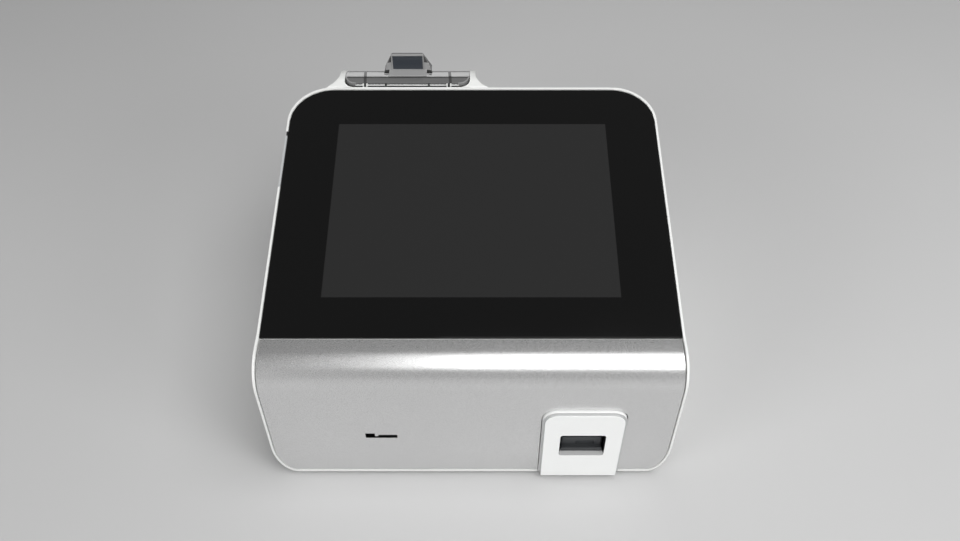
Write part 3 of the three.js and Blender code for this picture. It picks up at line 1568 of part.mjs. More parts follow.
// Printer frame: two side plates, a paper trough, the head's back wall and a plate for the motor
const headBack = platen.radius + head.away + head.thickness;
const wallFrom = headBack + head.springGap;
function podFloor(y) {
  const [fromY, fromZ] = [-WALL, pod.root + WALL];
  const [toY, toZ] = [rearMost - WALL, pod.low + WALL];
  return fromZ + ((y - fromY) * (toZ - fromZ)) / (toY - fromY) + GAP;
}
const lugPlace = [
  latch.y - latch.armHalf - GAP - latch.lug,
  latch.z - latch.hookDrop + latch.hookHeight + GAP + latch.lug,
];
function printerFrame() {
  const troughInner = paper.radius + 2 * GAP;
  const troughOuter = troughInner + chassis.wall;
  const padRear = chassis.padFront + chassis.padLength;
  const side = outline([
    [chassis.front, chassis.foreTop],
    [chassis.front, paper.z],
    [paper.y - troughInner, paper.z],
    ...arcPoints([paper.y, paper.z], troughOuter, chassis.troughFrom, chassis.padFrom),
    [chassis.padFront, podFloor(chassis.padFront)],
    [padRear, podFloor(padRear)],
    ...arcPoints([paper.y, paper.z], troughOuter, chassis.padTo, chassis.troughTo),
    [chassis.rear, paper.z],
    [lugPlace[0] + latch.lug * 2, lugPlace[1]],
    [lugPlace[0] + latch.lug, lugPlace[1] + latch.lug * 2],
    [platen.y, platen.z - platen.shaft],
    [platen.y - platen.shaft * 2, chassis.headTop],
    [platen.y - platen.shaft * 4, chassis.headTop],
  ]);
  const plates = [-1, 1].map((sign) => {
    const from = sign > 0 ? chassis.x : -chassis.x - chassis.plate;
    const lugFrom = sign > 0 ? from : from - latch.arm;
    const lug = cylinder('x', lugPlace, latch.lug, lugFrom, lugFrom + chassis.plate + latch.arm, 14);
    return join(acrossX(side, from, from + chassis.plate), lug);
  });
  const trough = acrossX(
    [
      ...arcPoints([paper.y, paper.z], troughInner, chassis.troughFrom, chassis.troughTo),
      ...arcPoints([paper.y, paper.z], troughOuter, chassis.troughTo, chassis.troughFrom),
    ],
    -chassis.x - chassis.plate / 2,
    chassis.x + chassis.plate / 2,
  );
  const wall = acrossX(
    [
      fromPlaten(wallFrom, -head.halfHeight),
      fromPlaten(wallFrom + chassis.wall, -head.halfHeight),
      fromPlaten(wallFrom + chassis.wall, head.halfHeight),
      fromPlaten(wallFrom, head.halfHeight),
    ],
    -chassis.x - chassis.plate / 2,
    chassis.x + chassis.plate / 2,
  );
  const motorPlateX = [chassis.motorX + GAP, platen.gearX - GAP];
  const mount = join(
    block(motorPlateX, [chassis.motorFront, chassis.motorRear], [chassis.web, chassis.foreTop]),
    block(
      [motorPlateX[0], -chassis.x],
      [chassis.motorFront + chassis.wall, chassis.motorRear],
      [chassis.web, chassis.web + chassis.wall],
    ),
  );
  const shaftHole = cylinder(
    'x',
    pinionCentre,
    printerMotor.boss + GAP,
    chassis.motorX - OVERRUN,
    -chassis.x + OVERRUN,
  );
  const stub = cylinder(
    'x',
    idlerCentre,
    head.stub,
    platen.gearX - GAP / 2,
    -chassis.x - chassis.plate / 2,
    16,
  );
  const slotEnd = fromPlaten(-chassis.rear + platen.y, 0);
  const slotHalf = platen.shaft + 2 * GAP;
  const across = [way.y * slotHalf, way.x * slotHalf];
  const shaftSlot = join(
    cylinder('x', [platen.y, platen.z], slotHalf, -bayHalf, bayHalf),
    acrossX([
      [platen.y + across[0], platen.z - across[1]],
      [slotEnd[0] + across[0], slotEnd[1] - across[1]],
      [slotEnd[0] - across[0], slotEnd[1] + across[1]],
      [platen.y - across[0], platen.z + across[1]],
    ], -bayHalf, bayHalf),
  );
  return join(cut(join(...plates, trough, wall, mount), shaftSlot, shaftHole), stub);
}
piece(printer, 'printer_frame', printerFrame(), looks.dark);

// Thermal head pressed on the platen by a leaf spring
const headForm = [
  fromPlaten(platen.radius + head.away, -head.halfHeight),
  fromPlaten(headBack, -head.halfHeight),
  fromPlaten(headBack, head.halfHeight),
  fromPlaten(platen.radius + head.away, head.halfHeight),
];
const springForm = [
  fromPlaten(wallFrom - GAP, -head.halfHeight * head.springShare),
  fromPlaten(headBack + GAP, 0),
  fromPlaten(wallFrom - GAP, head.halfHeight * head.springShare),
  fromPlaten(wallFrom - GAP, head.halfHeight * head.springShare - head.springThickness),
  fromPlaten(headBack + GAP + head.springThickness * 2, 0),
  fromPlaten(wallFrom - GAP, head.springThickness - head.halfHeight * head.springShare),
];
piece(printer, 'print_head', acrossX(headForm, -head.halfWidth, head.halfWidth), looks.dark);
piece(printer, 'head_spring', acrossX(springForm, -head.springHalf, head.springHalf), looks.steel);

// Printer motor outside the gear plate
const motorForm = join(
  cylinder('x', [0, 0], printerMotor.radius, -printerMotor.length, 0, 28),
  cylinder('x', [0, 0], printerMotor.boss, -OVERRUN, chassis.wall, 16),
  cylinder('x', [0, 0], printerMotor.shaft, -OVERRUN, platen.gearWidth - chassis.motorX + platen.gearX, 12),
);
piece(printer, 'printer_motor', motorForm, looks.steel, [chassis.motorX, ...pinionCentre]);

export default whole;
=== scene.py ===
"""Rapid test reader with a tilted touch screen, a cassette drawer and a small strip printer.
Metres, +X to the right, +Y to the back, +Z up, floor at zero."""
import json
import math

import bmesh
import bpy
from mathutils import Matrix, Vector


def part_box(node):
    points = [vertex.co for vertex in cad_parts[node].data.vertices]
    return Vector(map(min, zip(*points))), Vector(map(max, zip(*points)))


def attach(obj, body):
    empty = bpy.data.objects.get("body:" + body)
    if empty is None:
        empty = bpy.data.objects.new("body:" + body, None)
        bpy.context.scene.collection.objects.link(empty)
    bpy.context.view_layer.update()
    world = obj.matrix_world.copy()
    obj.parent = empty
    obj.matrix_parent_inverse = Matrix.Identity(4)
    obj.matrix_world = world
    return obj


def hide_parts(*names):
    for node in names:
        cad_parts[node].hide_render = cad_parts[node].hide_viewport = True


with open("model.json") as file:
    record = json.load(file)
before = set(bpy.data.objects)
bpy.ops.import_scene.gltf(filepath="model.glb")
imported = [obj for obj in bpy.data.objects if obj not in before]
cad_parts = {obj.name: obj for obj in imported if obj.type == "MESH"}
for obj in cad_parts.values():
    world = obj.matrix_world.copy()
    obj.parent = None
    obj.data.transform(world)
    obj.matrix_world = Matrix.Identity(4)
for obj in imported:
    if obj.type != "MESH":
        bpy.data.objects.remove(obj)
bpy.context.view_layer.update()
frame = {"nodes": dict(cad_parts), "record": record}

MM = 0.001
nodes = frame["nodes"]
body_of = {node: body for body, members in frame["record"]["behaviour"]["bodies"].items() for node in members}


def rounded(corner):
    """A corner to a micrometre."""
    return tuple(round(part, 6) for part in corner)


def low_of(node):
    return rounded(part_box(node)[0])


def high_of(node):
    return rounded(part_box(node)[1])


def centre_of(node):
    return rounded((least + most) / 2 for least, most in zip(*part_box(node)))


# Camera: solved from the vanishing points of the side edges and the uprights
CAMERA_PLACE = (0.0048, -0.3875, 0.4552)
CAMERA_PITCH = math.radians(44.1)
SENSOR = 36
LENS = 33.26
CLIP_START = 0.01
camera_data = bpy.data.cameras.new("camera")
camera_data.sensor_width = SENSOR
camera_data.lens = LENS
camera_data.clip_start = CLIP_START
camera = bpy.data.objects.new("camera", camera_data)
camera.location = CAMERA_PLACE
camera.rotation_euler = (CAMERA_PITCH, 0, 0)
bpy.context.scene.collection.objects.link(camera)
bpy.context.scene.camera = camera
bpy.context.scene.view_settings.view_transform = "Standard"


# Materials: a value is a socket whose sums add Math nodes, a finish is one material
class Value:
    def __init__(self, finish, socket):
        self.finish = finish
        self.socket = socket

    def sum(self, operation, first, second=0.0):
        return self.finish.node("ShaderNodeMath", {"operation": operation}, first, second)

    def __add__(self, other):
        return self.sum("ADD", self, other)

    def __mul__(self, other):
        return self.sum("MULTIPLY", self, other)

    def __sub__(self, other):
        return self.sum("SUBTRACT", self, other)

    def __rsub__(self, other):
        return self.sum("SUBTRACT", other, self)

    __radd__ = __add__
    __rmul__ = __mul__

    def __gt__(self, other):
        return self.sum("GREATER_THAN", self, other)

    def __lt__(self, other):
        return self.sum("LESS_THAN", self, other)

    def __abs__(self):
        return self.sum("ABSOLUTE", self)

    def most(self, other):
        return self.sum("MAXIMUM", self, other)

    def wave(self, length):
        return self.sum("SINE", self * (2 * math.pi / length))

    def away(self, other):
        """The distance from where this value and the other are both zero."""
        return self.sum("SQRT", self * self + other * other)

    def band(self, low, high, soft):
        """One between low and high, falling to zero over a soft edge."""
        middle = (low + high) / 2
        reach = (high - low) / 2
        return self.finish.node(
            "ShaderNodeMapRange", {"interpolation_type": "SMOOTHSTEP"},
            abs(self - middle), reach - soft, reach + soft, 1.0, 0.0,
        )


OBJECT_PLACE = 3


class Finish:
    def __init__(self, name, color, roughness, **constants):
        self.material = bpy.data.materials.new(name)
        self.material.use_nodes = True
        self.tree = self.material.node_tree
        self.shader = self.tree.nodes["Principled BSDF"]
        self.put("Base Color", grey(color))
        self.put("Roughness", roughness)
        for socket, value in constants.items():
            self.put(socket.replace("_", " ").title().replace("Ior", "IOR"), value)

    def link(self, socket, value):
        """Links a value to a socket, or sets the socket to a number, a size or a colour."""
        if isinstance(value, Value):
            self.tree.links.new(value.socket, socket)
        elif isinstance(value, tuple) and len(socket.default_value) == 4:
            socket.default_value = (*value, 1.0)
        else:
            socket.default_value = value

    def put(self, name, value):
        self.link(self.shader.inputs[name], value)

    def node(self, kind, settings, *values, output=0):
        """A node with its settings made, and then its enabled sockets filled in their order."""
        made = self.tree.nodes.new(kind)
        for name, value in settings.items():
            setattr(made, name, value)
        sockets = [socket for socket in made.inputs if socket.enabled]
        for socket, value in zip(sockets, values):
            if value is not None:
                self.link(socket, value)
        outputs = [socket for socket in made.outputs if socket.enabled]
        return Value(self, outputs[output])

    def place(self):
        return self.node("ShaderNodeTexCoord", {}, output=OBJECT_PLACE)

    def axes(self):
        split = self.node("ShaderNodeSeparateXYZ", {}, self.place()).socket.node
        return [Value(self, socket) for socket in split.outputs]

    def noise(self, scale, detail, place=None):
        return self.node("ShaderNodeTexNoise", {}, place or self.place(), scale, detail)

    def mix(self, share, first, second):
        """A colour from the first to the second, each a value or a display colour."""
        ends = [end if isinstance(end, Value) else grey(end) for end in (first, second)]
        return self.node("ShaderNodeMix", {"data_type": "RGBA"}, share, *ends)

    def bump(self, height, depth):
        self.put("Normal", self.node("ShaderNodeBump", {}, 1.0, depth, None, height))


def in_three(color):
    return color if isinstance(color, tuple) else (color,) * 3


def grey(color):
    """A display colour from 0 to 255, one number or three, as linear light."""
    return tuple((part / 255) ** 2.2 for part in in_three(color))


def shifted(color, step):
    return tuple(part + step for part in in_three(color))


# Studio: a pale floor, a room that darkens towards the ceiling, and soft lamps
ROOM_STOPS = ((0.0, 214), (0.28, 152), (1.0, 62))
FLOOR_SHADE = 196
FLOOR_CLOUD = 3
FLOOR_RADIUS = 6.0
LAMPS = (
    ("key_softbox", (0.44, -0.43, 1.385), (0.44, -0.23, 0.085), (1.04, 1.3), 16.5),
    ("left_softbox", (-1.35, -1.15, 0.8), (0.0, 0.0, 0.06), (0.9, 0.8), 11.2),
    ("right_softbox", (1.45, -1.1, 0.8), (0.0, 0.0, 0.06), (0.9, 0.8), 11.2),
)


def room():
    world = bpy.data.worlds.new("studio_room")
    bpy.context.scene.world = world
    world.use_nodes = True
    tree = world.node_tree
    place = tree.nodes.new("ShaderNodeTexCoord")
    split = tree.nodes.new("ShaderNodeSeparateXYZ")
    ramp = tree.nodes.new("ShaderNodeValToRGB")
    tree.links.new(place.outputs["Generated"], split.inputs[0])
    tree.links.new(split.outputs["Z"], ramp.inputs[0])
    tree.links.new(ramp.outputs[0], tree.nodes["Background"].inputs["Color"])
    ramp.color_ramp.elements.new(ROOM_STOPS[1][0])
    for stop, (height, shade) in zip(ramp.color_ramp.elements, ROOM_STOPS):
        stop.position = height
        stop.color = (*grey(shade), 1.0)


def lamps():
    for name, place, aim, size, power in LAMPS:
        data = bpy.data.lights.new(name, "AREA")
        data.shape = "RECTANGLE"
        data.size, data.size_y = size
        data.energy = power
        lamp = bpy.data.objects.new(name, data)
        lamp.location = place
        lamp.rotation_euler = (Vector(aim) - Vector(place)).to_track_quat("-Z", "Y").to_euler()
        bpy.context.scene.collection.objects.link(lamp)


def floor():
    paint = Finish("floor_paint", FLOOR_SHADE, 0.8)
    cloud = paint.noise(scale=3.0, detail=4.0)
    paint.put("Base Color", paint.mix(cloud, FLOOR_SHADE - FLOOR_CLOUD, FLOOR_SHADE + FLOOR_CLOUD))
    form = bmesh.new()
    bmesh.ops.create_circle(form, cap_ends=True, segments=96, radius=FLOOR_RADIUS)
    new_piece("floor", form, paint)


# Mesh tools. A cutter reaches past what it cuts by OVER
SAME_SPOT = 1e-6
BEVEL_SPOT = 0.3 * SAME_SPOT
FLAT = math.radians(0.6)
SHARP_EDGE = 32
EDGE_STEPS = 2
EVEN_WEIGHT = 80
OVER = 1.0 * MM


def metres(points):
    """Points given in millimetres, in metres."""
    return [tuple(part * MM for part in point) for point in points]


def about(middle, half):
    return middle - half, middle + half


def beside(middle, side, near, far):
    """The span between two distances from a middle, on one side of it."""
    return sorted((middle + side * near, middle + side * far))


def arc(middle, radius, start, end, steps):
    turns = [math.radians(start + (end - start) * i / steps) for i in range(steps + 1)]
    return [(middle[0] + radius * math.cos(turn), middle[1] + radius * math.sin(turn)) for turn in turns]


def new_piece(name, form, finish):
    """A smooth mesh object from a bmesh, with its faces turned outwards."""
    bmesh.ops.recalc_face_normals(form, faces=form.faces)
    return mesh_piece(name, form, finish)


def mesh_piece(name, form, finish):
    mesh = bpy.data.meshes.new(name)
    form.to_mesh(mesh)
    form.free()
    mesh.materials.append(finish.material)
    made = bpy.data.objects.new(name, mesh)
    bpy.context.scene.collection.objects.link(made)
    for face in mesh.polygons:
        face.use_smooth = True
    return made


def form_of(node, finish):
    """A copy of a CAD node with its doubles merged and its flat facets joined."""
    form = bmesh.new()
    form.from_mesh(nodes[node].data)
    bmesh.ops.remove_doubles(form, verts=form.verts, dist=SAME_SPOT)
    bmesh.ops.dissolve_limit(form, angle_limit=FLAT, verts=form.verts, edges=form.edges)
    return mesh_piece(node + "_form", form, finish)


def settled(made):
    """The object with its modifiers worked into its mesh."""
    graph = bpy.context.evaluated_depsgraph_get()
    mesh = bpy.data.meshes.new_from_object(made.evaluated_get(graph), depsgraph=graph)
    made.modifiers.clear()
    made.data = mesh
    return made


def worked(made, other, operation="DIFFERENCE"):
    """Cuts an object with another, or joins them, and throws the other away."""
    change = made.modifiers.new("cut", "BOOLEAN")
    change.operation = operation
    change.object = other
    change.solver = "EXACT"
    settled(made)
    bpy.data.objects.remove(other)


def sharpened(made, angle=SHARP_EDGE):
    """The object shaded with the edges over an angle in degrees left sharp."""
    made.data.set_sharp_from_angle(angle=math.radians(angle))
    return made


def eased(made, edge):
    """Rounds the sharp edges by a width that may be zero, and evens the shading."""
    if edge:
        bevel = made.modifiers.new("edges", "BEVEL")
        bevel.limit_method = "ANGLE"
        bevel.angle_limit = math.radians(SHARP_EDGE)
        bevel.width = edge
        bevel.segments = EDGE_STEPS
        bevel.use_clamp_overlap = True
        settled(made)
        form = bmesh.new()
        form.from_mesh(made.data)
        # At SAME_SPOT this merge would open the housing and the lid
        bmesh.ops.remove_doubles(form, verts=form.verts, dist=BEVEL_SPOT)
        form.to_mesh(made.data)
        form.free()
    else:
        sharpened(made)
    even = made.modifiers.new("even", "WEIGHTED_NORMAL")
    even.keep_sharp = True
    even.weight = EVEN_WEIGHT
    return settled(made)


def stand_for(made, *members):
    """Puts a piece on the body of the nodes that it replaces."""
    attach(made, body_of[members[0]])
    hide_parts(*members)


def added(made, node):
    """Puts an added piece on a node's body."""
    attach(made, body_of[node])


def bridged(form, rings):
    """Joins each ring of vertices to the next one. A ring may be a single vertex."""
    steps = max(len(ring) for ring in rings)
    for first, after in zip(rings, rings[1:]):
        for i in range(steps):
            j = (i + 1) % steps
            corners = [ring[k % len(ring)] for ring, k in ((first, i), (first, j), (after, j), (after, i))]
            form.faces.new(list(dict.fromkeys(corners)))


def block(form, under, over):
    """Adds a solid between two outlines with as many points each."""
    rings = [[form.verts.new(spot) for spot in outline] for outline in (under, over)]
    for ring in rings:
        form.faces.new(ring)
    bridged(form, rings)
    return form


def prism(form, outline, low, high, axis="z"):
    """Adds a prism: its outline lies across the axis, from low to high along it."""
    def place(u, v, w):
        return {"x": (w, u, v), "y": (u, w, v), "z": (u, v, w)}[axis]
    return block(form, *[[place(u, v, w) for u, v in outline] for w in (low, high)])


def box(form, x, y, z):
    return prism(form, [(x[0], y[0]), (x[1], y[0]), (x[1], y[1]), (x[0], y[1])], *z)


def lathe(form, middle, profile, steps, axis="z"):
    """Adds a turned form from a profile of [radius, height] points, where radius zero is on the axis."""
    def place(across, up, along):
        return {
            "y": (middle[0] + across, middle[1] + along, middle[2] + up),
            "z": (middle[0] + across, middle[1] + up, middle[2] + along),
        }[axis]
    turns = [2 * math.pi * i / steps for i in range(steps)]
    rings = []
    for radius, height in profile:
        spots = [place(radius * math.cos(turn), radius * math.sin(turn), height) for turn in turns]
        rings.append([form.verts.new(spot) for spot in (spots if radius else spots[:1])])
    bridged(form, rings)
    return form


# Geometry Nodes: a form repeated in a line, and that line in rows
def repeat_tree():
    tree = bpy.data.node_groups.new("repeat_form", "GeometryNodeTree")
    face = tree.interface
    face.new_socket("Form", in_out="INPUT", socket_type="NodeSocketGeometry")
    inputs = {"Count": "Int", "Step": "Vector", "Rows": "Int", "Row Step": "Vector", "Finish": "Material"}
    keys = {
        name: face.new_socket(name, in_out="INPUT", socket_type="NodeSocket" + kind).identifier
        for name, kind in inputs.items()
    }
    face.new_socket("Form", in_out="OUTPUT", socket_type="NodeSocketGeometry")
    given = tree.nodes.new("NodeGroupInput")
    form = given.outputs["Form"]
    for count, step in (("Count", "Step"), ("Rows", "Row Step")):
        line = tree.nodes.new("GeometryNodeMeshLine")
        spread = tree.nodes.new("GeometryNodeInstanceOnPoints")
        tree.links.new(given.outputs[count], line.inputs["Count"])
        tree.links.new(given.outputs[step], line.inputs["Offset"])
        tree.links.new(line.outputs[0], spread.inputs["Points"])
        tree.links.new(form, spread.inputs["Instance"])
        form = spread.outputs[0]
    real = tree.nodes.new("GeometryNodeRealizeInstances")
    coat = tree.nodes.new("GeometryNodeSetMaterial")
    result = tree.nodes.new("NodeGroupOutput")
    tree.links.new(form, real.inputs[0])
    tree.links.new(real.outputs[0], coat.inputs["Geometry"])
    tree.links.new(given.outputs["Finish"], coat.inputs["Material"])
    tree.links.new(coat.outputs[0], result.inputs[0])
    return tree, keys


REPEAT, REPEAT_KEYS = repeat_tree()


def repeated(name, form, finish, count, step, rows=1, row_step=(0.0, 0.0, 0.0)):
    """A form repeated by the tree, as one plain mesh."""
    made = new_piece(name, form, finish)
    change = made.modifiers.new("repeat", "NODES")
    change.node_group = REPEAT
    values = {"Count": count, "Step": step, "Rows": rows, "Row Step": row_step, "Finish": finish.material}
    for key, value in values.items():
        change[REPEAT_KEYS[key]] = value
    return settled(made)


def joined(name, parts, finish):
    form = bmesh.new()
    for part in parts:
        form.from_mesh(part.data)
        bpy.data.objects.remove(part)
    return mesh_piece(name, form, finish)


# Finishes: masks have a sharp or a soft edge
SHARP = 0.05 * MM
SOFT = 0.3 * MM
THIN_SOFT = 0.2 * MM
GRAIN_DEPTH = 0.02 * MM
MARK_DEPTH = 0.01 * MM
FLAKE_DEPTH = 0.012 * MM
RAISED_DEPTH = 0.03 * MM
PIT_DEPTH = 0.05 * MM
LENS_DEPTH = 0.002 * MM


def moulded(name, shade, roughness, pores=1400.0, depth=GRAIN_DEPTH, **constants):
    """Moulded plastic: a faint cloud in its colour and gloss, and a fine spark texture."""
    made = Finish(name, shade, roughness, **constants)
    cloud = made.noise(scale=28.0, detail=3.0)
    made.put("Base Color", made.mix(cloud, shifted(shade, -4), shifted(shade, 2)))
    made.put("Roughness", cloud * 0.1 + (roughness - 0.05))
    made.bump(made.noise(scale=pores, detail=2.0), depth)
    return made


def metal(name, shade, roughness):
    """Bare metal with fine marks."""
    made = Finish(name, shade, roughness, metallic=1.0)
    marks = made.noise(scale=900.0, detail=3.0)
    made.put("Base Color", made.mix(marks, shifted(shade, -14), shifted(shade, 8)))
    made.put("Roughness", marks * 0.16 + (roughness - 0.08))
    made.bump(marks, MARK_DEPTH)
    return made


# Fascia: silver all over, but for the walls of the card slot
SILVER_METAL = 0.78
CARD_SLOT = ((-62 * MM, -37 * MM), (34 * MM, 45 * MM), (-111.45 * MM, -100 * MM))


def silver_paint():
    """Satin silver paint with fine flakes. The card slot's walls are black."""
    made = Finish(
        "satin_silver_paint", 202, 0.34, metallic=SILVER_METAL, coat_weight=0.25, coat_roughness=0.3,
    )
    flakes = made.noise(scale=5200.0, detail=1.0)
    cloud = made.noise(scale=16.0, detail=2.0)
    x, y, z = made.axes()
    slot = x.band(*CARD_SLOT[0], SHARP) * z.band(*CARD_SLOT[1], SHARP) * y.band(*CARD_SLOT[2], SHARP)
    made.put("Base Color", made.mix(slot, made.mix(flakes * 0.75 + cloud * 0.25, 203, 226), 14))
    made.put("Metallic", SILVER_METAL - slot * SILVER_METAL)
    made.put("Roughness", flakes * 0.12 + 0.22)
    made.bump(flakes, FLAKE_DEPTH)
    return made


# Screen plane: its tilt, where it starts, and the display's field on it
TILT = math.radians(13.16)
SCREEN_FRONT = (-88.5 * MM, 96.1 * MM)
DISPLAY_HALF = 81.0 * MM
DISPLAY_START = 24.2 * MM
DISPLAY_END = 145.0 * MM


def cover_glass():
    """Black backed glass, where the display shows as a slightly lighter field."""
    made = Finish("black_backed_glass", 22, 0.045, specular_ior_level=0.32)
    x, y, z = made.axes()
    along = (y - SCREEN_FRONT[0]) * math.cos(TILT) + (z - SCREEN_FRONT[1]) * math.sin(TILT)
    across = x.band(-DISPLAY_HALF, DISPLAY_HALF, SOFT)
    field = along.band(DISPLAY_START, DISPLAY_END, SOFT) * across
    smear = made.noise(scale=22.0, detail=4.0)
    made.put("Base Color", made.mix(field, 27, 47))
    made.put("Roughness", smear * 0.05 + 0.03)
    return made


# Printer lid: its front edge, crease, crown, ribs and corners, about the middle of the pod
POD_X = centre_of("printer_lid")[0]
LID_FRONT = low_of("printer_lid")[1]
STRIP_START = LID_FRONT - 2 * MM
LID_CREASE = 91.0 * MM
LID_BACK = 99.0 * MM
LID_LOWEST_FRONT = 130.0 * MM
LID_HALF = high_of("printer_lid")[0] - POD_X
LID_CORNER = 7.0 * MM
LID_CORNER_HIGHLIGHT = 0.8 * MM
CREASE_SHADE_REACH = (-1.1 * MM, 0.9 * MM)
CREASE_SHADE_SOFT = 0.4 * MM
CROWN_HIGHLIGHT_SOFT = 1.2 * MM
RIB_SPOTS = 26.8 * MM
RIB_HALF = 0.9 * MM
RIB_LEAN = 0.07


def smoky_plastic(name, shade, through):
    """Smoked clear plastic, faintly streaked by the flow in its mould."""
    made = Finish(name, shade, 0.2, transmission_weight=through, ior=1.45)
    drawn = made.node("ShaderNodeMapping", {}, made.place(), None, None, (0.12, 1.0, 1.0))
    streak = made.noise(scale=420.0, detail=3.0, place=drawn)
    made.put("Roughness", streak * 0.14 + 0.1)
    made.bump(streak, GRAIN_DEPTH)
    made.streak = streak
    return made


def lid_plastic():
    """The lid's front strip shows the dark printer below it and its ribs are dark. It also carries painted
    light: a painted highlight on its crown, painted shade along its crease and a painted highlight along the
    edges of its round front corners.
    """
    made = smoky_plastic("smoky_lid_plastic", 128, 0.15)
    x, y, z = made.axes()
    lean = (y - LID_CREASE) * RIB_LEAN
    ribs = abs(abs(x - POD_X + lean) - RIB_SPOTS).band(-RIB_HALF, RIB_HALF, THIN_SOFT)
    raised = z > LID_LOWEST_FRONT
    strip = y.band(STRIP_START, LID_CREASE, SOFT) * raised
    # Painted highlight: the crown is made pale as if lit from above
    crown_highlight = y.band(LID_CREASE, LID_BACK, CROWN_HIGHLIGHT_SOFT) * raised
    # Painted shade: a dark line along the crease
    crease = y.band(LID_CREASE + CREASE_SHADE_REACH[0], LID_CREASE + CREASE_SHADE_REACH[1], CREASE_SHADE_SOFT) * raised
    # Painted highlight: a paler band along the edges of the round front corners
    out = abs(x - POD_X) - (LID_HALF - LID_CORNER)
    ahead = LID_FRONT + LID_CORNER - y
    turn = out.most(0.0).away(ahead.most(0.0)) > LID_CORNER - LID_CORNER_HIGHLIGHT
    edge = turn * (ahead > 0.0) * (out > 0.0) * raised
    body = made.mix(made.streak, 116, 134)
    body = made.mix(strip, body, made.mix(made.streak, 104, 128))
    body = made.mix(crown_highlight, body, made.mix(made.streak, 214, 230))
    body = made.mix(crease * 0.85, body, 46)
    body = made.mix(edge, body, 158)
    made.put("Base Color", made.mix(ribs * (strip + crown_highlight) * 0.75, body, 60))
    return made


# Bezel finish: its face, the step round it and the mouth
BEZEL_WHITE = (244, 245, 244)
BEZEL_FACE = -114.35 * MM
BEZEL_LEDGE = -113.2 * MM
MOUTH = ((48.7 * MM, 74.3 * MM), (23.7 * MM, 43.9 * MM))
MOUTH_FACE = -114.6 * MM
SILL = (MOUTH[1][0] - 2 * MM, MOUTH[1][0] + 2.4 * MM)


def bezel_plastic():
    """White face, with painted shade on the step round it, and painted shade inside the mouth: black on its
    walls and grey on its sill.
    """
    made = moulded("bezel_white", BEZEL_WHITE, 0.32, 1800.0, FLAKE_DEPTH)
    x, y, z = made.axes()
    # Painted shade: the step round the face is greyer, as a concave step is shaded
    step = y.band(BEZEL_FACE, BEZEL_LEDGE, SHARP)
    # Painted shade inside the mouth: black on the walls, grey on the sill
    mouth_shade = x.band(*MOUTH[0], SHARP) * z.band(*MOUTH[1], SHARP) * (y > MOUTH_FACE)
    body = made.mix(step, BEZEL_WHITE, (192, 193, 193))
    made.put("Base Color", made.mix(mouth_shade, body, made.mix(z.band(*SILL, THIN_SOFT), 16, 164)))
    return made


def green_board():
    made = Finish("green_board", (24, 84, 50), 0.4)
    settings = {"distance": "CHEBYCHEV", "feature": "DISTANCE_TO_EDGE"}
    tracks = made.node("ShaderNodeTexVoronoi", settings, made.place(), 190.0) < 0.06
    made.put("Base Color", made.mix(tracks, (24, 84, 50), (40, 112, 66)))
    made.bump(tracks, RAISED_DEPTH)
    return made


# Paper roll: its axis and the thickness of a layer
PAPER_PLACE = centre_of("paper_roll")[1:]
PAPER_LAYER = 0.5 * MM


def paper():
    """Thermal paper, with its wound layers showing as fine rings round the roll's axis."""
    made = Finish("thermal_paper", (240, 239, 233), 0.85)
    x, y, z = made.axes()
    rings = (y - PAPER_PLACE[0]).away(z - PAPER_PLACE[1]).wave(PAPER_LAYER) * 0.5 + 0.5
    fibres = made.noise(scale=1800.0, detail=3.0)
    made.put("Base Color", made.mix(rings * 0.5 + fibres * 0.5, (226, 225, 218), (246, 245, 240)))
    made.bump(rings * 0.6 + fibres * 0.4, RAISED_DEPTH)
    return made


shell_white = moulded("shell_white", (233, 234, 232), 0.38)
door_grey = moulded("door_grey", (182, 184, 185), 0.5)
black_plastic = moulded("black_plastic", (26, 27, 29), 0.48)
dark_plastic = moulded("dark_plastic", (58, 60, 62), 0.5)
slot_black = moulded("slot_black", (12, 12, 13), 0.7)
nylon = moulded("natural_nylon", (226, 222, 208), 0.45, 900.0, MARK_DEPTH)
display_panel = moulded("display_panel", (46, 47, 50), 0.3)
mark_white = moulded("mark_white", (232, 232, 230), 0.55)
zinc_sheet = metal("zinc_sheet", (196, 199, 202), 0.4)
bright_steel = metal("bright_steel", (190, 192, 194), 0.26)
contact_gold = metal("contact_gold", (214, 178, 96), 0.3)
turned_brass = metal("turned_brass", (200, 168, 90), 0.3)
card_brown = moulded("card_brown", (176, 140, 96), 0.85, 700.0, PIT_DEPTH)
lens_glass = moulded("lens_glass", (30, 44, 68), 0.1, 200.0, LENS_DEPTH, specular_ior_level=0.8)
satin_silver = silver_paint()
glass = cover_glass()
lid_smoke = lid_plastic()
bezel_white = bezel_plastic()
frame_smoke = smoky_plastic("smoky_frame_plastic", 160, 0.1)
lever_smoke = smoky_plastic("smoky_lever_plastic", 96, 0.35)
window_smoke = smoky_plastic("smoky_window", (62, 66, 72), 0.1)
feet_rubber = moulded("rubber", (28, 28, 30), 0.82, 2200.0, PIT_DEPTH)
board_green = green_board()
paper_white = paper()


# Edge widths and the gap that several pieces share
MAIN_EDGE = 0.25 * MM
SMALL_EDGE = 0.1 * MM
GAP = 0.15 * MM

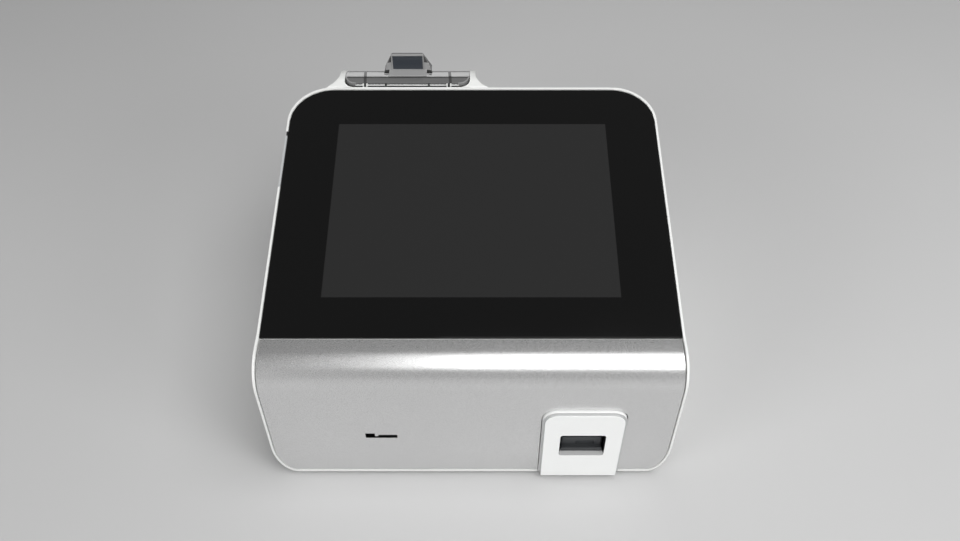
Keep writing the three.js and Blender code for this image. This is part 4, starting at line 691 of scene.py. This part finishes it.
# Screen: its glass and the rim round it, laid out across and along the tilted plane
GLASS_HALF = high_of("touch_glass")[0]
GLASS_END = 172.58 * MM
GLASS_CORNER = 25.3 * MM
GLASS_THICK = 2.0 * MM
GLASS_ROOM = 0.1 * MM
GLASS_CUT_FRONT = 120 * MM
GLASS_CUT_HIGH = 8 * MM
RIM = 1.5 * MM
RIM_MIDDLE = (85.9 * MM, 146.5 * MM)
RIM_TAPER = {
    1: metres([(87.8, 173.0), (84.7, 173.5), (79.9, 174.1), (70.0, 175.2), (58.0, 177.0)]),
    -1: metres([(90.5, 173.7), (88.0, 176.3), (86.5, 179.0)]),
}
TAPER_ROOM = 2 * MM
RIM_FALL = 3.2 * MM
RIM_CUT = (7 * MM, -9 * MM)
RIM_CUT_SIDE = 125 * MM
RIM_CUT_REAR = 192 * MM


def on_screen(across, along, up):
    return (
        across,
        SCREEN_FRONT[0] + along * math.cos(TILT) - up * math.sin(TILT),
        SCREEN_FRONT[1] + along * math.sin(TILT) + up * math.cos(TILT),
    )


def screen_block(over, under, high, low):
    """A block in the screen's plane: one outline at its top and one at its foot."""
    return block(bmesh.new(), *[
        [on_screen(*point, up) for point in outline] for outline, up in ((over, high), (under, low))
    ])


def glass_outline(grow, front):
    half = GLASS_HALF + grow
    end = GLASS_END + grow
    middle = (half - GLASS_CORNER, end - GLASS_CORNER)
    right = arc(middle, GLASS_CORNER, 0, 90, steps=32)
    return [(-half, front), (half, front)] + right + [(-across, along) for across, along in reversed(right)]


def cover():
    outline = glass_outline(0.0, 0.0)
    form = screen_block(outline, outline, 0.0, -GLASS_THICK)
    stand_for(eased(new_piece("cover_glass", form, glass), MAIN_EDGE), "touch_glass")


def thin_rim(made):
    """Cuts the housing's rim to an even width round the glass corners."""
    outline = glass_outline(GLASS_ROOM, GLASS_CUT_FRONT)
    form = screen_block(outline, outline, GLASS_CUT_HIGH, -GLASS_THICK)
    worked(made, new_piece("glass_cutter", form, shell_white))
    reach = GLASS_CORNER + RIM
    for side, taper in RIM_TAPER.items():
        stop = math.degrees(math.acos((taper[0][0] + TAPER_ROOM - RIM_MIDDLE[0]) / reach))
        outline = arc(RIM_MIDDLE, reach, 0, stop, steps=24) + taper + [(taper[-1][0], RIM_CUT_REAR)]
        outline += [(RIM_CUT_SIDE, RIM_CUT_REAR), (RIM_CUT_SIDE, RIM_MIDDLE[1])]
        over = [(side * across, along) for across, along in outline]
        under = [(across, along + RIM_FALL) for across, along in over]
        worked(made, new_piece("rim_cutter", screen_block(over, under, *RIM_CUT), shell_white))


# Side door: it reaches a notch in the left rim, where a dark piece stands in for the shade in the notch
DOOR_FACE, DOOR_LOW = low_of("side_door")[::2]
DOOR_SKIN = 1.2 * MM
DOOR_LIFT = 1.4 * MM
DOOR_JOIN = 38.9 * MM
DOOR_END = 43.8 * MM
DOOR_ROOM = 0.5 * MM
DOOR_CUT_HIGH = 140 * MM
DOOR_EDGE = 0.2 * MM
NOTCH_END = 47.3 * MM
NOTCH_HIGH = 3.4 * MM
SHADE_FILLER_DOWN = 0.5 * MM
SHADE_FILLER_DEEP = 0.3 * MM
SHADE_FILLER_ROOM = 0.1 * MM
SHADE_FILLER_EDGE = 0.15 * MM
RIM_PROUD = 0.4 * MM


def rim_height(y, under):
    return SCREEN_FRONT[1] + (y - SCREEN_FRONT[0]) * math.tan(TILT) + RIM_PROUD / math.cos(TILT) - under


def below_rim(ends, low, under, x):
    """A block with its top parallel to the rim."""
    outline = [(y, low) for y in ends] + [(y, rim_height(y, under)) for y in reversed(ends)]
    return prism(bmesh.new(), outline, *x, "x")


def door_recess(made):
    for start, end, low, deep in (
        (DOOR_JOIN, DOOR_END + GAP, DOOR_LOW - GAP, DOOR_ROOM),
        (DOOR_END, NOTCH_END, rim_height(DOOR_END, NOTCH_HIGH), GAP),
    ):
        x = (DOOR_FACE - OVER, DOOR_FACE + DOOR_SKIN + deep)
        form = box(bmesh.new(), x, (start, end), (low, DOOR_CUT_HIGH))
        worked(made, new_piece("recess_cutter", form, shell_white))


def long_door():
    made = form_of("side_door", door_grey)
    ends = (DOOR_JOIN - OVER, DOOR_END)
    form = below_rim(ends, DOOR_LOW + DOOR_LIFT, GAP, (DOOR_FACE, DOOR_FACE + DOOR_SKIN))
    worked(made, new_piece("door_end", form, door_grey), "UNION")
    stand_for(eased(made, DOOR_EDGE), "side_door")


# Painted shade: a dark piece in the door's notch stands in for the shade there
def notch_shade_filler():
    ends = (DOOR_END + GAP, NOTCH_END - SHADE_FILLER_ROOM)
    x = (DOOR_FACE + SHADE_FILLER_DEEP, DOOR_FACE + DOOR_SKIN + GAP)
    form = below_rim(ends, rim_height(DOOR_END, NOTCH_HIGH), SHADE_FILLER_DOWN, x)
    added(eased(new_piece("notch_shade_filler", form, black_plastic), SHADE_FILLER_EDGE), "main_housing")


# Printer pod: its curve, and where its opening, its lid and the release tab lie
POD_ARC = (90.3 * MM, 113.5 * MM, 24.4 * MM)
BAY_HALF = 39.5 * MM
BAY_CAD_FRONT = 83.2 * MM
BAY_FRONT = 81.7 * MM
BAY_CORNER = 5.6 * MM
CORNER_LOW = 126 * MM
FILLER_THICK = 1 * MM
BAY_CUT_HIGH = 142 * MM
LID_CUT = 20 * MM


def corner_outline(side, half, front, corner):
    """What lies outside a round front corner of the printer's opening or lid."""
    middle = (POD_X + side * (half - corner), front + corner)
    curve = arc(middle, corner, 180 if side < 0 else 360, 270, steps=12)
    far = POD_X + side * (half + OVER)
    return [(far, curve[0][1])] + curve + [(curve[-1][0], front - OVER), (far, front - OVER)]


def corner_filler(side):
    """Fills a front corner of the printer's opening up to a round edge, under the pod's curve."""
    outline = corner_outline(side, BAY_HALF, BAY_FRONT, BAY_CORNER)
    form = prism(bmesh.new(), outline, CORNER_LOW, CORNER_LOW + FILLER_THICK)
    for vert in form.verts:
        if vert.co.z > CORNER_LOW + FILLER_THICK / 2:
            reach = vert.co.y - POD_ARC[0]
            vert.co.z = POD_ARC[1] + math.sqrt(POD_ARC[2] ** 2 - reach ** 2)
    return new_piece("bay_corner", form, shell_white)


def pod_housing():
    """The housing with an even rim, the door's recess and round corners in the printer's opening."""
    made = form_of("main_housing", shell_white)
    thin_rim(made)
    door_recess(made)
    x = about(POD_X, BAY_HALF - OVER)
    form = box(bmesh.new(), x, (BAY_FRONT, BAY_CAD_FRONT + OVER), (CORNER_LOW, BAY_CUT_HIGH))
    worked(made, new_piece("front_cutter", form, shell_white))
    for side in (-1, 1):
        worked(made, corner_filler(side), "UNION")
    stand_for(eased(made, MAIN_EDGE), "main_housing")


# Lid form: its corners are cut round, and a hole lies on each side of the tab's slot
HOLE_SPOTS = 13.8 * MM
HOLE_PLACE = (95.0 * MM, 130 * MM)
HOLE_RADIUS = 1.5 * MM
HOLE_CUT = 10 * MM


def rounded_lid():
    """The lid with its front corners cut round and two holes beside the tab's slot."""
    made = form_of("printer_lid", lid_smoke)
    hole = [(0, 0), (HOLE_RADIUS, 0), (HOLE_RADIUS, HOLE_CUT), (0, HOLE_CUT)]
    for side in (-1, 1):
        outline = corner_outline(side, LID_HALF, LID_FRONT, LID_CORNER)
        form = prism(bmesh.new(), outline, CORNER_LOW, CORNER_LOW + LID_CUT)
        worked(made, new_piece("corner_cutter", form, lid_smoke))
        form = lathe(bmesh.new(), (POD_X + side * HOLE_SPOTS, *HOLE_PLACE), hole, steps=20)
        worked(made, new_piece("hole_cutter", form, lid_smoke))
    stand_for(eased(made, MAIN_EDGE), "printer_lid")


# Tear bar: shortened, with a pale guard before it, and below the guard a dark strip that stands in for its
# shadow
TEAR_HALF = 32.4 * MM
TEAR_CUT = 8 * MM
TEAR_CUT_DEPTH = (82 * MM, 86 * MM)
TEAR_CUT_HEIGHT = (131 * MM, 139 * MM)
STRIP_DEPTH = (83.1 * MM, 83.65 * MM)
# Painted shadow: the black strip stands in for the shadow under the pale guard
STRIPS = (
    ("tear_bar_shadow_strip", black_plastic, (133 * MM, 136.15 * MM)),
    ("tear_bar_guard", shell_white, (136.15 * MM, 136.7 * MM)),
)


def short_tear_bar():
    """The tear bar ends where the lid's round corners start."""
    made = form_of("tear_bar", bright_steel)
    for side in (-1, 1):
        x = beside(POD_X, side, TEAR_HALF, TEAR_HALF + TEAR_CUT)
        form = box(bmesh.new(), x, TEAR_CUT_DEPTH, TEAR_CUT_HEIGHT)
        worked(made, new_piece("end_cutter", form, bright_steel))
    stand_for(eased(made, 0.0), "tear_bar")


def tear_bar_strips():
    for name, finish, height in STRIPS:
        form = box(bmesh.new(), about(POD_X, TEAR_HALF), STRIP_DEPTH, height)
        added(eased(new_piece(name, form, finish), SMALL_EDGE), "tear_bar")


# Lid catches: place, side and distance from the lid's middle
CATCH_SPOTS = (
    ("outer", "left", -26.3 * MM),
    ("inner", "left", -13.2 * MM),
    ("inner", "right", 13.8 * MM),
    ("outer", "right", 26.3 * MM),
)
TONGUE_DEPTH = (82.6 * MM, 84.7 * MM)
TONGUE_HEIGHT = (134.9 * MM, 137.0 * MM)
TONGUE_HALF = 0.55 * MM
GLINT_HALF = 0.45 * MM
GLINT_STEP = 2.3 * MM


def lid_catches():
    """Dark tongues along the lid's front edge, the outer ones between pale strips that stand in for glints,
    as painted highlights.
    """
    def tongue(at, half):
        return box(bmesh.new(), about(POD_X + at, half), TONGUE_DEPTH, TONGUE_HEIGHT)
    for place, side, at in CATCH_SPOTS:
        catch = new_piece(f"lid_catch_{place}_{side}", tongue(at, TONGUE_HALF), black_plastic)
        added(eased(catch, SMALL_EDGE), "printer_lid")
        if place == "outer":
            # Painted highlight: pale strips beside the outer tongues stand in for glints
            guide = tongue(at - GLINT_STEP / 2, GLINT_HALF)
            glint_strips = repeated(f"catch_glints_{side}", guide, shell_white, 2, (GLINT_STEP, 0, 0))
            added(eased(glint_strips, SMALL_EDGE), "printer_lid")


# Release tab: a framed window stands before the blade, on a foot that reaches the lid's crease
TAB_HALF = 10.3 * MM
TAB_LOW = 137.9 * MM
TAB_HIGH = 149.1 * MM
TAB_FACE = 97.5 * MM
TAB_BACK = 98.6 * MM
TAB_EDGE = 0.2 * MM
RAIL = 0.75 * MM
RECESS = 0.5 * MM
CAP_BACK = TAB_BACK + 0.7 * MM
CAP_HEIGHT = (TAB_HIGH - 0.8 * MM, TAB_HIGH + 0.2 * MM)
SHOULDER_ROOT = TAB_HALF - 0.2 * MM
SHOULDER_FACE = 97.9 * MM
SHOULDER = [
    (SHOULDER_ROOT, TAB_LOW), (14.6 * MM, TAB_LOW), (13.2 * MM, 143.0 * MM), (SHOULDER_ROOT, 143.4 * MM),
]
FOOT_HALF = 12.0 * MM
FOOT_OUTLINE = metres([(91.6, 137.3), (98.6, 137.3), (98.6, 138.4), (97.3, 138.3), (91.8, 137.9)])
WINDOW_ROOM = 0.1 * MM
WINDOW_BACK = 0.3 * MM


def tab_frame():
    form = box(bmesh.new(), about(POD_X, TAB_HALF), (TAB_FACE, TAB_BACK), (TAB_LOW, TAB_HIGH))
    bmesh.ops.recalc_face_normals(form, faces=form.faces)
    front = next(face for face in form.faces if face.normal.y < -0.9)
    bmesh.ops.inset_individual(form, faces=[front], thickness=RAIL, depth=-RECESS)
    for side in (-1, 1):
        outline = [(POD_X + side * out, height) for out, height in SHOULDER]
        prism(form, outline, SHOULDER_FACE, TAB_BACK, "y")
    box(form, about(POD_X, TAB_HALF), (TAB_FACE, CAP_BACK), CAP_HEIGHT)
    prism(form, FOOT_OUTLINE, *about(POD_X, FOOT_HALF), "x")
    added(eased(new_piece("release_tab_frame", form, frame_smoke), TAB_EDGE), "lid_release_lever")


def tab_window():
    inset = RAIL + WINDOW_ROOM
    y = (TAB_FACE + WINDOW_BACK, TAB_FACE + RECESS + WINDOW_ROOM)
    form = box(bmesh.new(), about(POD_X, TAB_HALF - inset), y, (TAB_LOW + inset, TAB_HIGH - inset))
    added(eased(new_piece("release_tab_window", form, window_smoke), SMALL_EDGE), "lid_release_lever")


# Bezel form: a row of its mouth's flare is depth, half width, low, high and corner, in millimetres
BEZEL_X = centre_of("cassette_bezel")[0]
BEZEL_HALF = 21.6 * MM
BEZEL_EDGE = 0.35 * MM
STEP_END = 5.4 * MM
STEP_CUT = 5 * MM
STEP_CUT_LOW = 2 * MM
STEP_CUT_DEPTH = (-116 * MM, -111.9 * MM)
FLARE = (
    (-115.3, 12.65, 23.9, 43.8, 1.8),
    (-114.68, 12.6, 23.95, 43.75, 1.8),
    (-112.85, 12.2, 25.75, 42.95, 1.45),
)


def mouth_flare():
    form = bmesh.new()
    rings = []
    for y, half, low, high, corner in FLARE:
        spots = ((half - corner, high - corner, 0), (corner - half, high - corner, 90),
                 (corner - half, low + corner, 180), (half - corner, low + corner, 270))
        outline = [spot for x, z, turn in spots for spot in arc((x, z), corner, turn, turn + 90, steps=6)]
        rings.append([form.verts.new((BEZEL_X + x * MM, y * MM, z * MM)) for x, z in outline])
    bridged(form, rings)
    form.faces.new(rings[0])
    form.faces.new(rings[-1])
    return new_piece("mouth_cutter", form, bezel_white)


def plain_foot_bezel():
    """The bezel with its step ending at the fascia's lower edge, and its mouth flared at the face."""
    made = form_of("cassette_bezel", bezel_white)
    worked(made, mouth_flare())
    for side in (-1, 1):
        x = beside(BEZEL_X, side, BEZEL_HALF, BEZEL_HALF + STEP_CUT)
        form = box(bmesh.new(), x, STEP_CUT_DEPTH, (STEP_CUT_LOW, STEP_END))
        worked(made, new_piece("step_cutter", form, bezel_white))
    stand_for(eased(made, BEZEL_EDGE), "cassette_bezel")


cover()
pod_housing()
long_door()
notch_shade_filler()
rounded_lid()
short_tear_bar()
tear_bar_strips()
lid_catches()
tab_frame()
tab_window()
plain_foot_bezel()

# Every other CAD piece: its finish, and the width of its rounded edges in millimetres
COATS = {
    "base_tray": (shell_white, 0.2),
    "front_fascia": (satin_silver, 0.3),
    "lcd_panel": (display_panel, 0.2),
    "lcd_bracket": (zinc_sheet, 0.15),
    "side_door_pin": (bright_steel, 0.0),
    "side_usb_port": (bright_steel, 0.15),
    "id_card_socket": (slot_black, 0.2),
    "main_board": (board_green, 0.1),
    "lan_port": (bright_steel, 0.2),
    "usb_ports": (bright_steel, 0.15),
    "serial_port": (bright_steel, 0.15),
    "dc_jack": (black_plastic, 0.2),
    "switch_body": (black_plastic, 0.3),
    "power_rocker": (dark_plastic, 0.2),
    "cassette_carriage": (dark_plastic, 0.25),
    "drive_pinion": (nylon, 0.08),
    "transport_deck": (zinc_sheet, 0.15),
    "transport_motor": (bright_steel, 0.2),
    "guide_rod_left": (bright_steel, 0.2),
    "guide_rod_right": (bright_steel, 0.2),
    "optics_bridge": (zinc_sheet, 0.2),
    "optics_head": (black_plastic, 0.4),
    "optics_lens": (lens_glass, 0.2),
    "home_sensor": (black_plastic, 0.15),
    "lid_hinge_pin": (bright_steel, 0.1),
    "lid_release_lever": (lever_smoke, 0.2),
    "platen_roller": (feet_rubber, 0.2),
    "platen_shaft": (bright_steel, 0.2),
    "platen_gear": (nylon, 0.08),
    "idler_gear": (nylon, 0.08),
    "motor_pinion": (turned_brass, 0.05),
    "paper_roll": (paper_white, 0.1),
    "paper_core": (card_brown, 0.1),
    "printer_frame": (dark_plastic, 0.15),
    "print_head": (black_plastic, 0.15),
    "head_spring": (bright_steel, 0.0),
    "printer_motor": (bright_steel, 0.2),
}
for node, (finish, edge) in COATS.items():
    stand_for(eased(form_of(node, finish), edge * MM), node)

# Screws: pan heads with a cross, on threaded shanks
SCREW_SHANK = 1.3 * MM
SCREW_HEAD = metres([(0, 0), (1.7, 0), (2.5, -0.3), (2.9, -0.9), (2.9, -1.8), (1.3, -1.8)])
SCREW_LENGTH = 11.0 * MM
THREAD_START = 2.6 * MM
THREAD_END = SCREW_LENGTH - 1.2 * MM
THREAD_PITCH = 0.8 * MM
THREAD_ROOT = SCREW_SHANK * 0.82
SCREW_TIP = [(SCREW_SHANK * 0.8, 0.4 * MM - SCREW_LENGTH), (0.5 * MM, -SCREW_LENGTH), (0, -SCREW_LENGTH)]
CROSS_THIN = 0.75 * MM
CROSS_LONG = 2.9 * MM
CROSS_DEEP = 1.0 * MM
CROSS_OVER = 0.5 * MM


def screw(middle, turn):
    """One screw from the top of its head: turn is 1 where the head is above its shank, -1 below."""
    thread = []
    height = THREAD_START
    while height < THREAD_END:
        thread += [(SCREW_SHANK, -height), (THREAD_ROOT, -height - THREAD_PITCH / 2)]
        height += THREAD_PITCH
    profile = [(radius, turn * height) for radius, height in SCREW_HEAD + thread + SCREW_TIP]
    made = new_piece("screw", lathe(bmesh.new(), middle, profile, steps=20), bright_steel)
    heights = sorted((middle[2] + turn * CROSS_OVER, middle[2] - turn * CROSS_DEEP))
    for across, along in ((CROSS_THIN, CROSS_LONG), (CROSS_LONG, CROSS_THIN)):
        form = box(bmesh.new(), about(middle[0], across / 2), about(middle[1], along / 2), heights)
        worked(made, new_piece("cross_cutter", form, slot_black))
    form = bmesh.new()
    form.from_mesh(made.data)
    bpy.data.objects.remove(made)
    return form


def middle_of(node, top):
    low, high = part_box(node)
    return ((low[0] + high[0]) / 2, (low[1] + high[1]) / 2, high[2] if top else low[2])


def screws_between(name, nodes_in_line, turn, rows_to=None):
    """Screws at two nodes, and in a second row where one is named."""
    spots = [middle_of(node, turn > 0) for node in nodes_in_line]
    step = (spots[1][0] - spots[0][0], spots[1][1] - spots[0][1], 0.0)
    row_step = (0.0, 0.0, 0.0)
    if rows_to:
        row_step = (0.0, middle_of(rows_to, turn > 0)[1] - spots[0][1], 0.0)
    return repeated(name, screw(spots[0], turn), bright_steel, 2, step, 2 if rows_to else 1, row_step)


def case_screws():
    front = ["base_screw_front_left", "base_screw_front_right"]
    rear = ["base_screw_rear_left", "base_screw_rear_right"]
    made = screws_between("case_screws", front, -1, rear[0])
    stand_for(sharpened(made), *front, *rear)


def deck_screws():
    front = screws_between("front_screws", ["deck_screw_1", "deck_screw_3"], 1)
    rear = screws_between("rear_screws", ["deck_screw_2", "deck_screw_4"], 1)
    made = joined("deck_screws", [front, rear], bright_steel)
    stand_for(sharpened(made), *[f"deck_screw_{number}" for number in range(1, 5)])


# Feet: ringed rubber buttons
FOOT_RINGS = metres([
    (0, 0.5), (1.6, 0.5), (1.9, 0.15), (2.2, 0), (2.9, 0), (3.1, 0.35), (3.7, 0.35), (3.9, 0), (4.6, 0),
    (4.8, 0.35), (5.3, 0.35), (5.5, 0), (6.0, 0), (6.35, 0.3), (6.5, 0.8), (6.5, 2.7), (0, 2.7),
])


def feet():
    corners = [f"foot_{end}_{side}" for end in ("front", "rear") for side in ("left", "right")]
    first = middle_of(corners[0], False)
    step = (middle_of(corners[1], False)[0] - first[0], 0.0, 0.0)
    row_step = (0.0, middle_of(corners[2], False)[1] - first[1], 0.0)
    form = lathe(bmesh.new(), first, FOOT_RINGS, steps=40)
    made = repeated("ringed_feet", form, feet_rubber, 2, step, 2, row_step)
    stand_for(sharpened(made, angle=50), *corners)


# Sockets: their contacts and pins
REAR_WALL = high_of("lan_port")[1]
LAN_X = centre_of("lan_port")[0]
LAN_COUNT = 8
LAN_PITCH = 1.02 * MM
LAN_HALF = 0.25 * MM
LAN_SPRING = metres([(91.8, 22.2), (91.2, 22.2), (84.2, 19.2), (84.0, 18.9), (84.6, 18.9), (91.9, 21.9)])
USB_X = centre_of("usb_ports")[0]
USB_SLOTS = (15.45 * MM, 23.15 * MM)
USB_COUNT = 4
USB_PITCH = 2.2 * MM
USB_HALF = 0.5 * MM
USB_THICK = 0.25 * MM
USB_DEPTH = (84 * MM, 91 * MM, 91.4 * MM)
SIDE_DEPTH = (-109.4 * MM, -102.6 * MM)
SIDE_PLACE = centre_of("side_usb_port")[1:]
SERIAL_PLACE = centre_of("serial_port")[::2]
PIN_PITCH = 2.77 * MM
PIN_ROWS = 2.84 * MM
PIN_COUNTS = ((5, 1), (4, -1))
PIN = metres([(0, -0.2), (0.5, -0.2), (0.5, 1.4), (0.3, 1.7), (0, 1.75)])
POST_SPREAD = 12.5 * MM
POST = metres([(1.3, -0.2), (2.5, -0.2), (2.5, 1.7), (2.1, 2.0), (1.3, 2.0), (1.3, -0.2)])


def first_of(middle, count, pitch):
    return middle - (count - 1) / 2 * pitch


def lan_contacts():
    form = prism(bmesh.new(), LAN_SPRING, *about(first_of(LAN_X, LAN_COUNT, LAN_PITCH), LAN_HALF), "x")
    added(repeated("lan_contacts", form, contact_gold, LAN_COUNT, (LAN_PITCH, 0, 0)), "lan_port")


def usb_contacts():
    start, bend, end = USB_DEPTH
    low, high = USB_SLOTS
    spring = [(start, low - USB_THICK), (bend, low - USB_THICK), (end, low), (start, low)]
    form = prism(bmesh.new(), spring, *about(first_of(USB_X, USB_COUNT, USB_PITCH), USB_HALF), "x")
    made = repeated("usb_contacts", form, contact_gold, USB_COUNT, (USB_PITCH, 0, 0), 2, (0, 0, high - low))
    added(made, "usb_ports")


def service_contacts():
    y, z = SIDE_PLACE
    width = about(first_of(y, USB_COUNT, USB_PITCH), USB_HALF)
    form = box(bmesh.new(), SIDE_DEPTH, width, (z - USB_THICK, z))
    made = repeated("service_contacts", form, contact_gold, USB_COUNT, (0, USB_PITCH, 0))
    added(made, "side_usb_port")


def serial_pins():
    x, z = SERIAL_PLACE
    rows = []
    for count, side in PIN_COUNTS:
        spot = (first_of(x, count, PIN_PITCH), REAR_WALL, z + side * PIN_ROWS / 2)
        form = lathe(bmesh.new(), spot, PIN, steps=12, axis="y")
        rows.append(repeated("pin_row", form, contact_gold, count, (PIN_PITCH, 0, 0)))
    added(joined("serial_pins", rows, contact_gold), "serial_port")


def jack_posts():
    x, z = SERIAL_PLACE
    form = lathe(bmesh.new(), (x - POST_SPREAD, REAR_WALL, z), POST, steps=6, axis="y")
    bmesh.ops.remove_doubles(form, verts=form.verts, dist=SAME_SPOT)
    made = repeated("jack_posts", form, bright_steel, 2, (2 * POST_SPREAD, 0, 0))
    added(sharpened(made, angle=30), "serial_port")


# Power rocker: a raised bar and ring on its tilted face
ROCKER_X, ROCKER_Z = centre_of("switch_body")[::2]
ROCKER_FACE = 94.9 * MM
ROCKER_TILT = math.radians(8)
MARK_PROUD = 0.12 * MM
BAR_HALF = 0.3 * MM
BAR_HEIGHT = (28.6 * MM, 31.4 * MM)
RING_Z = 23.4 * MM
RING_RADII = (1.0 * MM, 1.5 * MM)


def rocker_marks():
    form = box(bmesh.new(), about(ROCKER_X, BAR_HALF), about(0.0, MARK_PROUD), BAR_HEIGHT)
    inner, outer = [arc((ROCKER_X, RING_Z), radius, 0, 360, steps=32)[:-1] for radius in RING_RADII]
    rings = []
    for circle, y in ((inner, -MARK_PROUD), (outer, -MARK_PROUD), (outer, MARK_PROUD), (inner, MARK_PROUD)):
        rings.append([form.verts.new((x, y, z)) for x, z in circle])
    bridged(form, rings + rings[:1])
    for vert in form.verts:
        vert.co.y += ROCKER_FACE + (vert.co.z - ROCKER_Z) * math.tan(ROCKER_TILT)
    made = new_piece("rocker_marks", form, mark_white)
    added(sharpened(made, angle=30), "power_rocker")


# Main board: chip legs, capacitors and a pin header. A leg's points are out from the chip and up
BOARD_TOP = 11.3 * MM
CHIP_SIDE = 14.0 * MM
CHIP_STEP = (28.0 * MM, 14.0 * MM, 0.0)
CHIP_CORNER = (-61.0 * MM, -49.7 * MM)
CHIP_COUNT = 3
LEG_COUNT = 10
LEG_PITCH = 1.2 * MM
LEG_HALF = 0.25 * MM
LEG = metres([
    (-0.2, 1.1), (0.7, 1.1), (1.1, 0.25), (1.8, 0.25), (1.8, 0.0), (0.9, 0.0), (0.5, 0.8), (-0.2, 0.8),
])
CAN = metres([
    (0, 0), (3.1, 0), (3.1, 0.6), (2.9, 0.9), (3.1, 1.2),
    (3.1, 6.6), (2.8, 6.9), (2.2, 6.9), (2.1, 6.7), (0, 6.7),
])
CAN_PLACE = (-74 * MM, -52 * MM, BOARD_TOP)
CAN_STEP = (8 * MM, 0, 0)
CAN_ROWS = (0, 9 * MM, 0)
HEADER = ((-9.0 * MM, 14.0 * MM), (20 * MM, 25 * MM), (BOARD_TOP, BOARD_TOP + 2.5 * MM))
HEADER_EDGE = 0.3 * MM
HEADER_PIN = ((-7.9 * MM, -7.3 * MM), (21.0 * MM, 21.6 * MM), (BOARD_TOP, BOARD_TOP + 8 * MM))
HEADER_PITCH = 2.54 * MM
HEADER_COUNT = 9


def chip_legs():
    rows = []
    for edge, way in ((CHIP_CORNER[0], -1), (CHIP_CORNER[0] + CHIP_SIDE, 1)):
        outline = [(edge + way * out, BOARD_TOP + height) for out, height in LEG]
        form = prism(bmesh.new(), outline, *about(CHIP_CORNER[1] + LEG_PITCH, LEG_HALF), "y")
        step = (0, LEG_PITCH, 0)
        rows.append(repeated("leg_row", form, bright_steel, LEG_COUNT, step, CHIP_COUNT, CHIP_STEP))
    added(joined("chip_legs", rows, bright_steel), "main_board")


def capacitors():
    form = lathe(bmesh.new(), CAN_PLACE, CAN, steps=28)
    made = repeated("board_capacitors", form, bright_steel, 2, CAN_STEP, 3, CAN_ROWS)
    added(sharpened(made, angle=40), "main_board")


def header():
    body = new_piece("header_body", box(bmesh.new(), *HEADER), nylon)
    added(eased(body, HEADER_EDGE), "main_board")
    pin = box(bmesh.new(), *HEADER_PIN)
    steps = ((HEADER_PITCH, 0, 0), 2, (0, HEADER_PITCH, 0))
    pins = repeated("header_pins", pin, contact_gold, HEADER_COUNT, *steps)
    added(eased(pins, SMALL_EDGE), "main_board")


case_screws()
deck_screws()
feet()
lan_contacts()
usb_contacts()
service_contacts()
serial_pins()
jack_posts()
rocker_marks()
chip_legs()
capacitors()
header()

room()
lamps()
floor()
